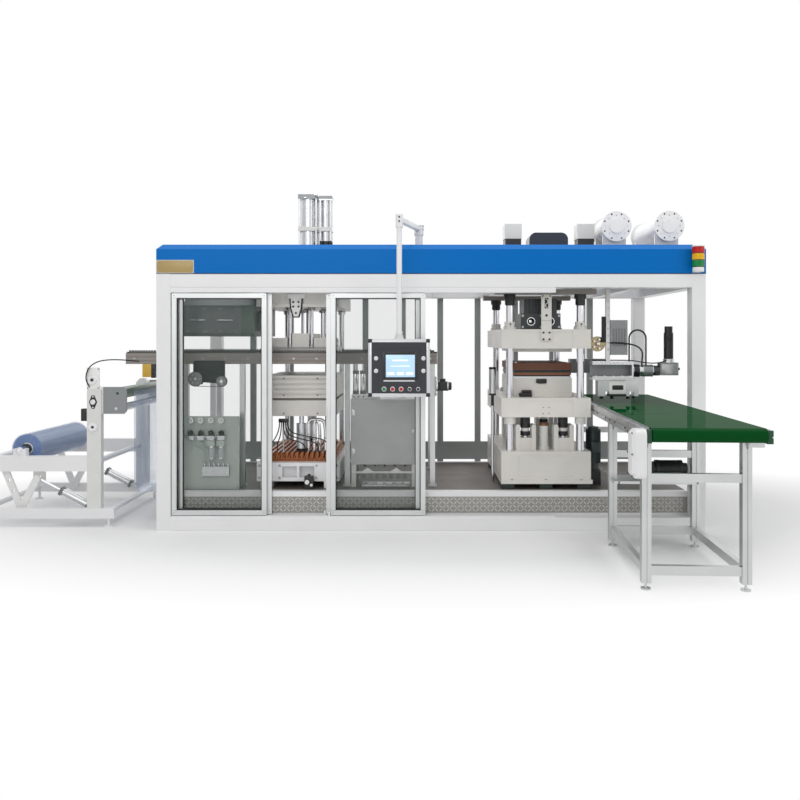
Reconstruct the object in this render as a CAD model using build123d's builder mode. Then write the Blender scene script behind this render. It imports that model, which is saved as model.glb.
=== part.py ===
from build123d import *
import os

# Blister forming machine, in millimetres.
# The origin lies on the floor under the middle of the machine frame.
# X runs along the machine from the film unwinder to the delivery belt, Y from the
# operator side to the rear, Z up.

# Machine frame
frame_length = 4600
frame_depth = 1850
frame_height = 2150
post_size = 118
base_height = 110
beam_height = 114
tube_edge = 6
inner_beam_width = 80
roof_beams_at = (-1560, -740, 0, 560, 1435, 1760)

# Folded cover round the roof
cover_height = 250
cover_chamfer = 43
cover_lip = 60
cover_return = 30
cover_sheet = 4

# Bed inside the frame
bed_top = 310
bed_inset = 115
bed_rail_width = 60
bed_lip_height = 45
bed_lip_depth = 7
bed_plate_thickness = 6
bed_member_width = 60
bed_members_at = (-2140, -1450, -850, -300, 657, 1337, 2140)
skirt_thickness = 4
skirt_bottom = 128
plate_gap = 2
front_plate_depth = 760

# Rear guard
stile_width = 62
stile_depth = 40
stile_setback = 12
stile_pitch = 399
stile_first = -1858
stile_count = 10
guard_lift = 15
guard_height = 190
guard_thickness = 3

# Sliding doors on two tracks
track_height = 11
track_inset = 15
track_depth = 95
track_margin = 5
track_right = 1044
track_pitch = 45
header_height = 42
groove_depth = 8
groove_width = 14
door_width = 795
door_profile = 40
door_thickness = 40
door_corner = 4
door_clearance = 5
glass_thickness = 6
glass_groove = 8
glass_rebate = 5
fin_width = 6
fin_length = 120
fin_inset = 80
wheel_radius = 14
wheel_width = 8
stop_gap = 20
stop_width = 15
stop_height = 30
door_a_left = -2177
door_b_left = -2140
door_c_left = -842
door_d_left = -884

# Film rails and their chains
film_level = 1450
rail_near = 330
rail_width = 60
rail_height = 95
rail_rise = 30
rail_spacing = 950
rail_left = -2676
rail_right = 60
rail_groove = 6
rail_grooves_at = (28, 63)
chain_height = 26
chain_strip = 13
chain_width = 22
tooth_pitch = 24
tooth_width = 12
rail_posts_at = (-2150, -1655, -730, 20)
rail_post_size = 45
rail_foot_size = 70
rail_foot_thickness = 10

# Drive of the film chains
drive_wheel_x = -2056
drive_wheel_drop = 130
drive_wheel_radius = 62
idler_x = -1826
idler_drop = 150
idler_radius = 45
wheel_bore_boss = 24
drive_plate_thickness = 12
drive_shaft_radius = 15
drive_motor_size = 96
drive_motor_length = 45

# Heater over the film
heater_left = -2165
heater_length = 620
heater_bottom = 1630
heater_height = 360
heater_inset = 20
heater_slope = 90
heater_wall = 30
heater_opening = 110
heater_tile = (105, 118, 26)
heater_tile_pitch = (125, 140)
heater_tile_count = (4, 6)
hanger_radius = 10
hanger_inset = 80
hanger_beam = (50, 50)

# Forming station
forming_x = -1150
forming_width = 620
forming_front = 405
forming_depth = 850
forming_column_radius = 25
forming_collar_radius = 38
forming_collar_height = 34
forming_column_half = 275
forming_column_front = 300
forming_column_depth = 1080
forming_base_half = 360
forming_base_front = 250
forming_base_overhang = 160
forming_base_height = 160
forming_pad_height = 60
forming_pad_size = 100
forming_edge = 6
forming_window = (130, 100, 80)
forming_window_spacing = 150
fin_plate_thickness = 25
fin_plate_front = 60
cooling_fin = (24, 50)
cooling_fin_pitch = 44
cooling_fin_count = 14
lower_table_bottom = 920
lower_table_box = 1080
lower_table_top = 1280
table_lip = 20
table_lip_height = 20
table_slot = (16, 12)
table_slot_count = 4
table_slot_pitch = 45
lift_ram_radius = 22
lift_barrel_radius = 46
lift_barrel_top = 850
lift_bore_floor = 640
lift_ram_inset = 60
upper_table_bottom = 1455
upper_table_stroke = 170
tool_plate_thickness = 28
tool_frame_height = 47
middle_block_half = 75
middle_block_height = 125
side_block = (118, 255)
side_block_height = 85
guide_radius = 15
guide_half = 97
guide_inset = 30
guide_top = 1950
crosshead_bottom = 1885
crosshead_height = 120
crosshead_front = 240
crosshead_overhang = 185
crosshead_pocket = (200, 70, 12)
crosshead_pocket_spacing = 130
tie_width = 90
tie_height = 60
ties_at = (-650, 500)
slide_fit = 0.5

# Air cylinders on the roof: middle, half width, top, rod radius and rod seat above the table
cylinder_y = -125
roof_cylinder_sets = ((-1129, 90, 2948, 25, 200), (-968, 62, 2938, 18, 160))
cylinder_head = 40
cylinder_flange = (2610, 2647)
tie_rod_radius = 9
tie_rod_inset = 14
piston_rod_top = 2200
roof_plate_thickness = 12

# Air panel and control cabinet
air_panel_span = (-2143, -1650)
air_panel_top = 939
air_panel_setback = 205
air_panel_thickness = 6
air_post_size = 40
gauge_row = (-2062, 88, 4, 905)
gauge_steps = ((11, 20), (22, 20))
knob_level = 800
knob_steps = ((15, 20), (20, 30))
valve_size = (60, 45, 40)
valve_level = 760
bowls_at = (-1880, -1800)
bowl_steps = ((12, 12), (24, 118))
bowl_levels = (560, 690)
bowl_head = (64, 55, 45)
manifold_span = (-1960, -1730)
manifold_levels = (430, 510)
fitting_depth = 40
cabinet_span = (-697, -116)
cabinet_levels = (507, 1078)
cabinet_front = 300
cabinet_depth = 420
cabinet_leg = 40
cabinet_leg_inset = 7
cabinet_door_margin = 22
cabinet_door_depth = 4

# Cutting press
cutting_x = 997
cutting_width = 776
cutting_front = 200
cutting_depth = 1260
press_edge = 8
cutting_base_bottom = 357
base_plinth = 34
plinth_step = 10
cutting_base_top = 634
base_pocket = (482, 190, 20)
pad_size = (110, 120)
pad_inset = (60, 70)
cutting_column_half = 307
cutting_column_radius = 32
column_inset = 65
column_top = 1994
collar_steps = ((56, 22), (46, 43))
head_collar_steps = ((42, 52), (52, 40))
lower_platen_bottom = 930
lower_platen_top = 1094
upper_platen_bottom = 1523
upper_platen_top = 1689
platen_pocket = (465, 125, 16)
pocket_depth = 6
tool_half = 262
upper_tool_bottom = 1491
sleeve_radius = 48
sleeve_height = 62
die_width = 525
die_block_top = 1257
die_layers = ((6, 1272), (14, 1284), (6, 1306), (10, 1330))
die_board_top = 1392
die_slot = (70, 34, 18)
ram_half = 165
ram_inset = 120
ram_radius = 27
ram_steps = ((27, 121), (42, 40), (36, 30), (44, 100))
ram_wall = (50, 86)
ram_wall_depth = 60
ram_wall_top = 860
ram_wall_arch = 20
ram_guide_half = 50
ram_guide_top = 745
ram_start = 5
centre_post_steps = ((46, 30), (38, 180), (42, 26))
centre_post_inset = 130
gearbox_span = (800, 1150)
gearbox_setback = (150, 520)
gearbox_top = 1830
gearbox_port_radius = 38
gearbox_ports_at = (890, 1060)
gearbox_port_level = 1760
gearbox_port_depth = 60
gear_motor_span = (830, 1120)
gear_motor_setback = (180, 480)
gear_motor_top = 1960
gear_motor_rib = (14, 10)
press_plate_half = 44
press_plate_thickness = 14
press_plate_levels = (1590, 1990)
press_tie_half = 50
pump_motor_at = (1462, -460)
pump_motor_level = 430
pump_motor_steps = ((60, 20), (50, 30), (58, 300), (48, 40))
pump_motor_foot = 110
balance_cylinder_place = (569, -365, 32, 14, 1095, 1350)

# Stacking unit beyond the press
hanger_x = 1538
hanger_size = (34, 40)
hangers_y = (-675, 300)
hanger_bottom = 1410
hanger_hole_radius = 6
hanger_hole_pitch = 60
hanger_hole_count = 8
stacker_span = (1400, 1755)
stacker_near = (-705, -595)
stacker_far = (250, 360)
stacker_levels = (1270, 1410)
stacker_wall = 14
stacker_flange = 18
stacker_overhang = 15
bridge_span = (1700, 1755)
bridge_levels = (1300, 1380)
head_span = (1555, 1710)
head_depth = (-690, -525)
head_levels = (1467, 1769)
head_rib = (12, 8)
pulley_x = 1455
pulley_level = 1562
pulley_steps = ((20, 22), (66, 4), (60, 12), (66, 4), (20, 18))
stacker_motor_y = -650
stacker_motor_level = 1330
stacker_motor_steps = ((55, 60), (48, 25), (52, 90), (44, 60))
end_box = (1990, 2150, 90, 1290, 1400)
lift_motor_x = 2075
lift_motor_steps = ((46, 24), (40, 236), (34, 55))
gripper_spans = ((1450, 1620), (1690, 1800))
gripper_bottom = 1110
gripper_gap = 40

# Delivery belt, turned a little about the vertical
belt_origin = (1300, -2625, 0)
belt_turn = -3
belt_length = 3080
belt_width = 700
belt_level = 1050
belt_sheet = 3
belt_roller_radius = 45
belt_edge = 40
belt_edge_gap = 3
belt_rail_drop = (95, 12)
belt_leg = 60
leg_slot = (8, 7)
leg_rows = ((180, 0), (1240, 0), (2860, bed_top))
leg_places = (35, 665)
foot_radius = 32
foot_thickness = 10
foot_stem_radius = 8
foot_height = 45
stretcher_levels = ((690, 745), (95, 155))
stretcher_width = 40
guard_size = (150, 308, 40)
guard_middle = (60, 889)
guard_reach = 88
guard_slope = 24
shelf_levels = (505, 525)
shelf_half = 140
shelf_bracket = 30
pump_span = (340, 600)
pump_steps = ((50, 20), (62, 26), (58, 150), (62, 26), (40, 38))
pump_level = 607
pump_foot = (180, 150, 18)

# Roof equipment
press_motors_at = (723, 1358)
press_motor_half = 70
press_motor_depth = (-650, -480)
press_motor_top = 2480
press_motor_cap = (75, 10, 2610)
roof_drive_span = (870, 1210)
roof_drive_depth = (-600, -380)
roof_drive_top = 2540
roof_drive_round = 60
drum_sets = ((1590, -780, 420), (2035, -800, 740))
drum_level = 2570
drum_radius = 128
drum_body_radius = 112
drum_rim = 18
drum_hub_radius = 60
drum_hub_length = 14
drum_bolt_circle = 92
drum_bolt_radius = 6
drum_stand = (200, 30)
drum_stand_inset = (90, 60)

# Signal lamp
lamp_x = 2214
lamp_reach = 56
lamp_radius = 54
lamp_neck = 46
lamp_lens = 50
lamp_gap = 5
lamp_base = (2160, 2178, 2205)
lamp_cap = 22

# Control panel on its arm
panel_width = 492
panel_height = 462
panel_depth = 130
panel_bottom = 1143
panel_x = -262
panel_front = 230
panel_corner = 14
panel_rim = 25
panel_recess = 8
panel_face_thickness = 5
screen_size = (275, 222, 8)
screen_middle = (10, 1390)
screen_thickness = 6
button_radii = (14, 14, 14, 11, 11)
button_first = -120
button_pitch = 68
button_level = 1205
button_reach = 18
side_knobs_at = (-184, 194)
side_knob_levels = (1350, 1450)
side_knob_radius = 13
swivel_steps = ((40, 10), (33, 24))
arm_level = 2570
arm_size = 46
arm_edge = 8
arm_pivot_x = -100
arm_pivot_y = 300
arm_post_radius = 34
arm_post_foot = 60
arm_hub_steps = ((42, 85),)
arm_clamp_height = 40
arm_clamp_radius = 30
pole_radius = 22

# Film unwinder
stand_near = 150
stand_width = 1180
stand_left = -3960
stand_right = -2810
stand_tube = 60
column_depth = 120
column_levels = (160, 1212)
column_head = 40
end_post_depth = 100
top_beam_levels = (477, 605)
foot_beam_levels = (75, 160)
foot_beam_overhang = 110
stand_foot_steps = ((38, 12), (12, 63))
stand_foot_inset = (50, 55)
cross_tube_radius = 24
roll_x = -3505
roll_level = 652
roll_radius = 135
roll_length = 970
shaft_radius = 31
shaft_overhang = 45
journal = (55, 32, 60, 26)
nip_roller = (-2677, 1140, 50)
web_roller = (-2690, 1010, 34)
roller_gap = 60
roller_pin_radius = 12
roller_bracket_x = -2600
roller_bracket_levels = (965, 1195)
roller_bracket_edge = 22
lever_x = -3536
lever_level = 143
lever_tip = (-3400, 400)
lever_arm = (-3690, 520)
lever_gap = 62
lever_thickness = 16
lever_width = 60
lever_end_radius = 30
lever_pin_radius = 11
lever_bar_radius = 14
lever_hole_radius = 12
lever_holes_at = (0.4, 0.65)
lever_pin_end = 4
cylinder_foot = (-2910, 140)
cylinder_offset = 22
lift_cylinder_radius = 28
lift_cap_radius = 32
lift_cap_length = 18
lift_rod_radius = 10
lift_bore = (60, 330)
lift_body_start = 40
lift_eye_radius = 24
foot_eye_radius = 20
foot_pin_radius = 8
tip_pin_radius = 8
tip_pin_play = 5

# Film between the unwinder and the chains
web_thickness = 2
web_margin = 6
web_bottom = 240
web_far_x = -2400
web_guide_radius = 30
web_end = -1545

left = -frame_length / 2
right = frame_length / 2
front = -frame_depth / 2
back = frame_depth / 2
inner_left = left + post_size
inner_right = right - post_size
inner_front = front + post_size
inner_back = back - post_size
beam_bottom = frame_height - beam_height

os.makedirs("parts", exist_ok=True)


def save_together(name, *pieces, place=Location()):
    """Write a piece, or like pieces that ride on one body, as one node."""
    with BuildPart() as joined:
        for piece in pieces:
            add(piece.part.moved(place))
    joined.part.label = name
    export_step(joined.part, f"parts/{name}.step")


def facing_front(x, y, z):
    """A plane at a point that faces the operator side, its own X along the machine."""
    return Plane(origin=(x, y, z), x_dir=(1, 0, 0), z_dir=(0, -1, 0))


def facing_left(x, y, z):
    """A plane at a point that faces the unwinder, its own X along the depth and its Y up."""
    return Plane(origin=(x, y, z), x_dir=(0, -1, 0), z_dir=(-1, 0, 0))


def block(x, y, z, mode=Mode.ADD):
    """A rectangular block between the low and high values along each axis."""
    with Locations(((x[0] + x[1]) / 2, (y[0] + y[1]) / 2, (z[0] + z[1]) / 2)):
        Box(x[1] - x[0], y[1] - y[0], z[1] - z[0], mode=mode)


def around(centre, half):
    """The low and high values at equal distances from a centre."""
    return (centre - half, centre + half)


def rod(radius, start, end, mode=Mode.ADD):
    """A round bar from one point to another."""
    run = Vector(*end) - Vector(*start)
    with BuildSketch(Plane(origin=start, z_dir=run.normalized())) as section:
        Circle(radius)
    extrude(section.sketch, amount=run.length, mode=mode)


def turned(steps, start, direction):
    """A turned piece: steps of radius and length, one after another from a point."""
    outline = [(0, 0)]
    reached = 0
    for radius, length in steps:
        outline += [(radius, reached), (radius, reached + length)]
        reached += length
    outline.append((0, reached))
    radial = Plane(origin=start, z_dir=direction).x_dir
    axis = Vector(*direction)
    with BuildSketch(Plane(origin=start, x_dir=radial, z_dir=radial.cross(axis))) as half:
        with BuildLine():
            Polyline(*outline, close=True)
        make_face()
    revolve(half.sketch, axis=Axis(start, direction))


def link(y, thickness, radius, *centres):
    """A flat link in the XZ plane with round ends, its outline drawn tight round its centres."""
    with BuildSketch(facing_front(0, y, 0)) as outline:
        with Locations(*centres):
            Circle(radius)
        make_hull()
    extrude(outline.sketch, amount=thickness / 2, both=True)


def pocket(x, y, z, width, height, edge, depth):
    """A pocket with rounded corners, cut into a face that looks to the operator side."""
    with BuildSketch(facing_front(x, y, z)) as outline:
        RectangleRounded(width, height, edge)
    extrude(outline.sketch, amount=-depth, mode=Mode.SUBTRACT)


def four_corners(centre_x, half_x, near_y, depth):
    """The centres of four like parts round a station."""
    return [(centre_x + sx * half_x, y) for sx in (-1, 1) for y in (near_y, near_y + depth)]


# Machine frame: posts and beams

with BuildPart() as corner_posts:
    with GridLocations(frame_length - post_size, frame_depth - post_size, 2, 2):
        Box(post_size, post_size, frame_height, align=(Align.CENTER, Align.CENTER, Align.MIN))
    fillet(corner_posts.edges().filter_by(Axis.Z), tube_edge)


def side_beams_at(bottom, height):
    """The front and the rear beam between the corner posts."""
    with BuildPart() as beams:
        with BuildSketch(Plane.XY.offset(bottom)):
            with GridLocations(1, frame_depth - post_size, 1, 2):
                Rectangle(inner_right - inner_left, post_size)
        extrude(amount=height)
        fillet(beams.edges().filter_by(Axis.X), tube_edge)
    return beams


base_side_beams = side_beams_at(0, base_height)
top_side_beams = side_beams_at(beam_bottom, beam_height)

with BuildPart() as base_cross_beams:
    for centre in (left + post_size / 2, forming_x, 0, cutting_x, right - post_size / 2):
        block(around(centre, inner_beam_width / 2), (inner_front, inner_back), (0, base_height))

with BuildPart() as top_cross_beams:
    for centre in (left + post_size / 2, right - post_size / 2):
        block(around(centre, post_size / 2), (inner_front, inner_back), (beam_bottom, frame_height))
    for centre in roof_beams_at:
        block(around(centre, inner_beam_width / 2), (inner_front, inner_back), (beam_bottom, frame_height))


# Cover: four folded sheets, mitred at the corners


def cover_side(length, distance, turn):
    """One folded cover sheet, its top edge bent inwards, mitred at both ends."""
    with BuildPart() as sheet:
        with BuildSketch(Plane.YZ):
            with BuildLine():
                Polyline(
                    (0, 0),
                    (0, cover_height - cover_chamfer),
                    (cover_chamfer, cover_height),
                    (cover_chamfer + cover_lip, cover_height),
                    (cover_chamfer + cover_lip, cover_height - cover_sheet),
                    (cover_chamfer + cover_sheet / 2, cover_height - cover_sheet),
                    (cover_sheet, cover_height - cover_chamfer - cover_sheet / 2),
                    (cover_sheet, cover_sheet),
                    (cover_return, cover_sheet),
                    (cover_return, 0),
                    close=True,
                )
            make_face()
        extrude(amount=length / 2, both=True)
        for side in (-1, 1):
            corner = Plane(origin=(side * length / 2, 0, 0), z_dir=(-side, -1, 0))
            split(bisect_by=corner, keep=Keep.TOP)
    placed = sheet.part.moved(Location((0, -distance, frame_height)))
    return placed.moved(Location((0, 0, 0), (0, 0, turn)))


with BuildPart() as cover_sides:
    for turn in (0, 180):
        add(cover_side(frame_length, frame_depth / 2, turn))

with BuildPart() as cover_ends:
    for turn in (90, -90):
        add(cover_side(frame_depth, frame_length / 2, turn))

# Plates under the equipment on the roof, with the slot for the table's piston rods
deck = frame_height + roof_plate_thickness
plate_levels = (frame_height, deck)
plate_back = back - 330
arm_plate_half = 140
rod_slot = ((-1180, -930), (-170, -80))
with BuildPart() as roof_plates:
    block((-1520, -780), (front + 330, plate_back), plate_levels)
    block((520, 1475), (inner_front, plate_back), plate_levels)
    block((1490, inner_right), (inner_front, plate_back), plate_levels)
    block(around(arm_pivot_x, arm_plate_half), (inner_front, front + 460), plate_levels)
    block(*rod_slot, plate_levels, mode=Mode.SUBTRACT)

# Bed: rails with a lip, cross members, plates and tread plate skirts

rail_front = front + bed_inset
rail_back = back - bed_inset
with BuildPart() as bed_rails:
    for face, inward in ((rail_front, 1), (rail_back, -1)):
        low, high = sorted((face, face + inward * bed_rail_width))
        block((inner_left, inner_right), (low, high), (base_height, bed_top))
        low, high = sorted((face, face - inward * bed_lip_depth))
        block((inner_left, inner_right), (low, high), (bed_top - bed_lip_height, bed_top))

member_low = rail_front + bed_rail_width
member_high = rail_back - bed_rail_width
plate_bottom = bed_top - bed_plate_thickness
with BuildPart() as bed_cross_members:
    for centre in bed_members_at:
        block(around(centre, bed_member_width / 2), (member_low, member_high), (base_height, plate_bottom))

with BuildPart() as bed_plates:
    split_line = member_low + front_plate_depth
    block((inner_left, inner_right), (member_low, split_line - plate_gap), (plate_bottom, bed_top))
    block((inner_left, inner_right), (split_line, member_high), (plate_bottom, bed_top))

with BuildPart() as tread_skirts:
    for face, outward in ((rail_front, -1), (rail_back, 1)):
        low, high = sorted((face, face + outward * skirt_thickness))
        block((inner_left, inner_right), (low, high), (skirt_bottom, bed_top - bed_lip_height))

# Rear guard: stiles with a low sheet between the corner posts

stile_y = back - stile_setback
with BuildPart() as rear_stiles:
    for k in range(stile_count):
        block(around(stile_first + k * stile_pitch, stile_width / 2), (stile_y - stile_depth, stile_y),
              (base_height, beam_bottom))

with BuildPart() as rear_guard:
    guard_y = stile_y - stile_depth - plate_gap
    guard_bottom = bed_top + guard_lift
    block((inner_left, inner_right), (guard_y - guard_thickness, guard_y), (guard_bottom, guard_bottom + guard_height))

# Door tracks with two running grooves

track_front = front + track_inset
header_bottom = beam_bottom - header_height
track_top = base_height + track_height
first_row = track_front + track_margin + door_thickness / 2
track_rows = (first_row, first_row + track_pitch)

with BuildPart() as door_header:
    block((inner_left, track_right), (front, track_front + track_depth), (header_bottom, beam_bottom))
    for row in track_rows:
        block((inner_left, track_right), around(row, groove_width / 2),
              (header_bottom, header_bottom + 2 * groove_depth), mode=Mode.SUBTRACT)

with BuildPart() as door_sill:
    block((inner_left, track_right), (track_front, track_front + track_depth), (base_height, track_top))
    for row in track_rows:
        block((inner_left, track_right), around(row, groove_width / 2), (track_top - groove_depth, track_top),
              mode=Mode.SUBTRACT)
    for row, door_left in ((track_rows[0], door_c_left), (track_rows[1], door_d_left)):
        block((door_left - stop_gap, door_left - stop_gap + stop_width), around(row, door_thickness / 2),
              (track_top, track_top + stop_height))

door_bottom = track_top + door_clearance
door_top = header_bottom - door_clearance


def build_door(letter, door_left, row):
    """A framed sliding door with its wheels, and the glass in its groove."""
    middle = door_left + door_width / 2
    level = (door_bottom + door_top) / 2
    height = door_top - door_bottom
    opening = (door_width - 2 * door_profile, height - 2 * door_profile)
    pane = (opening[0] + 2 * glass_groove, opening[1] + 2 * glass_groove)
    with BuildPart() as frame:
        with BuildSketch(facing_front(middle, row, level)):
            RectangleRounded(door_width, height, door_corner)
            Rectangle(*opening, mode=Mode.SUBTRACT)
        extrude(amount=door_thickness / 2, both=True)
        for side in (-1, 1):
            with BuildSketch(facing_front(middle, row + side * door_thickness / 2, level)):
                Rectangle(opening[0] + 2 * glass_rebate, opening[1] + 2 * glass_rebate)
            extrude(amount=side * glass_rebate, mode=Mode.SUBTRACT)
        with BuildSketch(facing_front(middle, row, level)):
            Rectangle(*pane)
        extrude(amount=glass_thickness / 2, both=True, mode=Mode.SUBTRACT)
        for side in (-1, 1):
            centre = middle + side * (door_width / 2 - fin_inset)
            block(around(centre, fin_length / 2), around(row, fin_width / 2),
                  (door_top, door_top + door_clearance + groove_depth))
            rod(wheel_radius, (centre, row - wheel_width / 2, door_bottom + door_clearance),
                (centre, row + wheel_width / 2, door_bottom + door_clearance))
    save_together(f"door_{letter}_frame", frame)
    with BuildPart() as glass:
        with BuildSketch(facing_front(middle, row, level)):
            Rectangle(*pane)
        extrude(amount=glass_thickness / 2, both=True)
    save_together(f"door_{letter}_glass", glass)


build_door("a", door_a_left, track_rows[0])
build_door("b", door_b_left, track_rows[1])
build_door("c", door_c_left, track_rows[0])
build_door("d", door_d_left, track_rows[1])

# Film rails: two grooved beams with toothed chains, on posts with foot plates

rail_rows = (front + rail_near, front + rail_near + rail_spacing)
rail_top = film_level + rail_rise
rail_bottom = rail_top - rail_height
rail_length = rail_right - rail_left

with BuildPart() as film_rails:
    for row in rail_rows:
        with BuildSketch(facing_left(rail_left, row + rail_width / 2, rail_bottom)):
            with Locations((0, rail_height / 2)):
                Rectangle(rail_width, rail_height)
            for level in rail_grooves_at:
                for side in (-1, 1):
                    with Locations((side * (rail_width - rail_groove) / 2, level)):
                        Rectangle(rail_groove, rail_groove, mode=Mode.SUBTRACT)
        extrude(amount=-rail_length)

teeth = int(rail_length / tooth_pitch) - 1
with BuildPart() as rail_chains:
    for row in rail_rows:
        outline = [(0, 0), (0, chain_strip)]
        for k in range(1, teeth):
            start = k * tooth_pitch
            outline += [(start, chain_strip), (start, chain_height)]
            outline += [(start + tooth_width, chain_height), (start + tooth_width, chain_strip)]
        outline += [(rail_length, chain_strip), (rail_length, 0)]
        with BuildSketch(facing_front(rail_left, row + rail_width / 2, rail_top)):
            with BuildLine():
                Polyline(*outline, close=True)
            make_face()
        extrude(amount=chain_width / 2, both=True)

with BuildPart() as rail_posts:
    for centre in rail_posts_at:
        for row in rail_rows:
            middle = row + rail_width / 2
            block(around(centre, rail_post_size / 2), around(middle, rail_post_size / 2),
                  (bed_top + rail_foot_thickness, rail_bottom))
            block(around(centre, rail_foot_size / 2), around(middle, rail_foot_size / 2),
                  (bed_top, bed_top + rail_foot_thickness))

# Drive of the film chains: a plate on the near rail with two belt wheels and a motor
drive_row = rail_rows[0]
plate_middle = drive_row - drive_plate_thickness / 2
wheel_at = (drive_wheel_x, rail_bottom - drive_wheel_drop)
idler_at = (idler_x, rail_bottom - idler_drop)
seat_level = rail_bottom + rail_groove
wheel_steps = ((wheel_bore_boss, 6), (drive_wheel_radius, 4), (drive_wheel_radius - 6, 12), (drive_wheel_radius, 4))
idler_steps = ((wheel_bore_boss, 6), (idler_radius, 4), (idler_radius - 6, 12), (idler_radius, 4))
with BuildPart() as rail_drive:
    link(plate_middle, drive_plate_thickness, wheel_bore_boss,
         wheel_at, idler_at, (drive_wheel_x, seat_level), (idler_x, seat_level))
    plate_face = drive_row - drive_plate_thickness
    turned(wheel_steps, (wheel_at[0], plate_face, wheel_at[1]), (0, -1, 0))
    turned(idler_steps, (idler_at[0], plate_face, idler_at[1]), (0, -1, 0))
    block(around(wheel_at[0], drive_motor_size / 2), (drive_row, drive_row + drive_motor_length),
          around(wheel_at[1], drive_motor_size / 2))

# Heater hood over the film, its opening full of heating tiles, hung from the roof beams

near = rail_rows[0] - heater_inset
far = rail_rows[1] + rail_width + heater_inset
heater_top = heater_bottom + heater_height
heater_middle = heater_left + heater_length / 2
hood_middle = (near + far) / 2
with BuildPart() as heater:
    with BuildSketch(facing_left(heater_left, hood_middle, heater_bottom)):
        with BuildLine():
            half_depth = (far - near) / 2
            Polyline(
                (-half_depth, 0),
                (-half_depth, heater_height - heater_slope),
                (-half_depth + heater_slope, heater_height),
                (half_depth - heater_slope, heater_height),
                (half_depth, heater_height - heater_slope),
                (half_depth, 0),
                close=True,
            )
        make_face()
    extrude(amount=-heater_length)
    block((heater_left + heater_wall, heater_left + heater_length - heater_wall),
          (near + heater_wall, far - heater_wall), (heater_bottom, heater_bottom + heater_opening),
          mode=Mode.SUBTRACT)
    with Locations((heater_middle, hood_middle, heater_bottom + heater_opening - heater_tile[2] / 2)):
        with GridLocations(*heater_tile_pitch, *heater_tile_count):
            Box(*heater_tile)

with BuildPart() as heater_hangers:
    for x in (heater_left + hanger_inset, heater_left + heater_length - hanger_inset):
        for y in (near + heater_slope + hanger_inset, far - heater_slope - hanger_inset):
            rod(hanger_radius, (x, y, heater_top), (x, y, beam_bottom))
    for y in (near + heater_slope + hanger_inset, far - heater_slope - hanger_inset):
        block((inner_left, roof_beams_at[0] - inner_beam_width / 2), around(y, hanger_beam[0] / 2),
              (beam_bottom, beam_bottom + hanger_beam[1]))

# Forming station: base, columns and cooling plate

forming_near = front + forming_front
forming_far = forming_near + forming_depth
forming_columns_at = four_corners(forming_x, forming_column_half, front + forming_column_front, forming_column_depth)
forming_side = around(forming_x, forming_width / 2)
forming_base_bottom = bed_top + forming_pad_height
forming_base_top = forming_base_bottom + forming_base_height
base_front = front + forming_base_front

with BuildPart() as forming_base:
    block(around(forming_x, forming_base_half), (base_front, forming_far + forming_base_overhang),
          (forming_base_bottom, forming_base_top))
    fillet(forming_base.edges().filter_by(Axis.Z), tube_edge)
    window_width, window_height, window_depth = forming_window
    for side in (-1, 1):
        pocket(forming_x + side * forming_window_spacing / 2, base_front, forming_base_bottom + forming_base_height / 2,
               window_width, window_height, forming_edge, window_depth)
    for x, y in forming_columns_at:
        block(around(x, forming_pad_size / 2), around(y, forming_pad_size / 2), (bed_top, forming_base_bottom))

with BuildPart() as forming_columns:
    for x, y in forming_columns_at:
        turned(
            (
                (forming_collar_radius, forming_collar_height),
                (forming_column_radius, crosshead_bottom - forming_base_top - 2 * forming_collar_height),
                (forming_collar_radius, forming_collar_height),
            ),
            (x, y, forming_base_top),
            (0, 0, 1),
        )

with BuildPart() as cooling_plate:
    fin_bottom = forming_base_top + fin_plate_thickness
    fin_length = forming_depth + fin_plate_front
    block(forming_side, (forming_near - fin_plate_front, forming_far), (forming_base_top, fin_bottom))
    with Locations((forming_x, forming_far - fin_length / 2, fin_bottom + cooling_fin[1] / 2)):
        with GridLocations(cooling_fin_pitch, 1, cooling_fin_count, 1):
            Box(cooling_fin[0], fin_length, cooling_fin[1])

# Lower forming table on its two lift rams

ram_places_below = [(forming_x, forming_near + lift_ram_inset), (forming_x, forming_far - lift_ram_inset)]
fin_top = fin_bottom + cooling_fin[1]
with BuildPart() as lower_cylinders:
    for x, y in ram_places_below:
        rod(lift_barrel_radius, (x, y, fin_top), (x, y, lift_barrel_top))
        rod(lift_ram_radius + slide_fit, (x, y, lift_bore_floor), (x, y, lift_barrel_top), mode=Mode.SUBTRACT)

with BuildPart() as lower_rams:
    for x, y in ram_places_below:
        rod(lift_ram_radius, (x, y, lift_bore_floor + slide_fit), (x, y, lower_table_bottom))

with BuildPart() as lower_table:
    block(forming_side, (forming_near, forming_far), (lower_table_box, lower_table_top))
    block((forming_side[0] + table_lip, forming_side[1] - table_lip), (forming_near + table_lip, forming_far - table_lip),
          (lower_table_box - table_lip_height, lower_table_box))
    block(forming_side, (forming_near, forming_far), (lower_table_bottom, lower_table_box - table_lip_height))
    with BuildSketch(facing_front(forming_x, forming_near, (lower_table_box + lower_table_top) / 2)):
        with GridLocations(1, table_slot_pitch, 1, table_slot_count):
            Rectangle(forming_width, table_slot[0])
    extrude(amount=-table_slot[1], mode=Mode.SUBTRACT)

# Upper forming table, with the guide rods and piston rods that carry it through the crosshead

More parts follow.
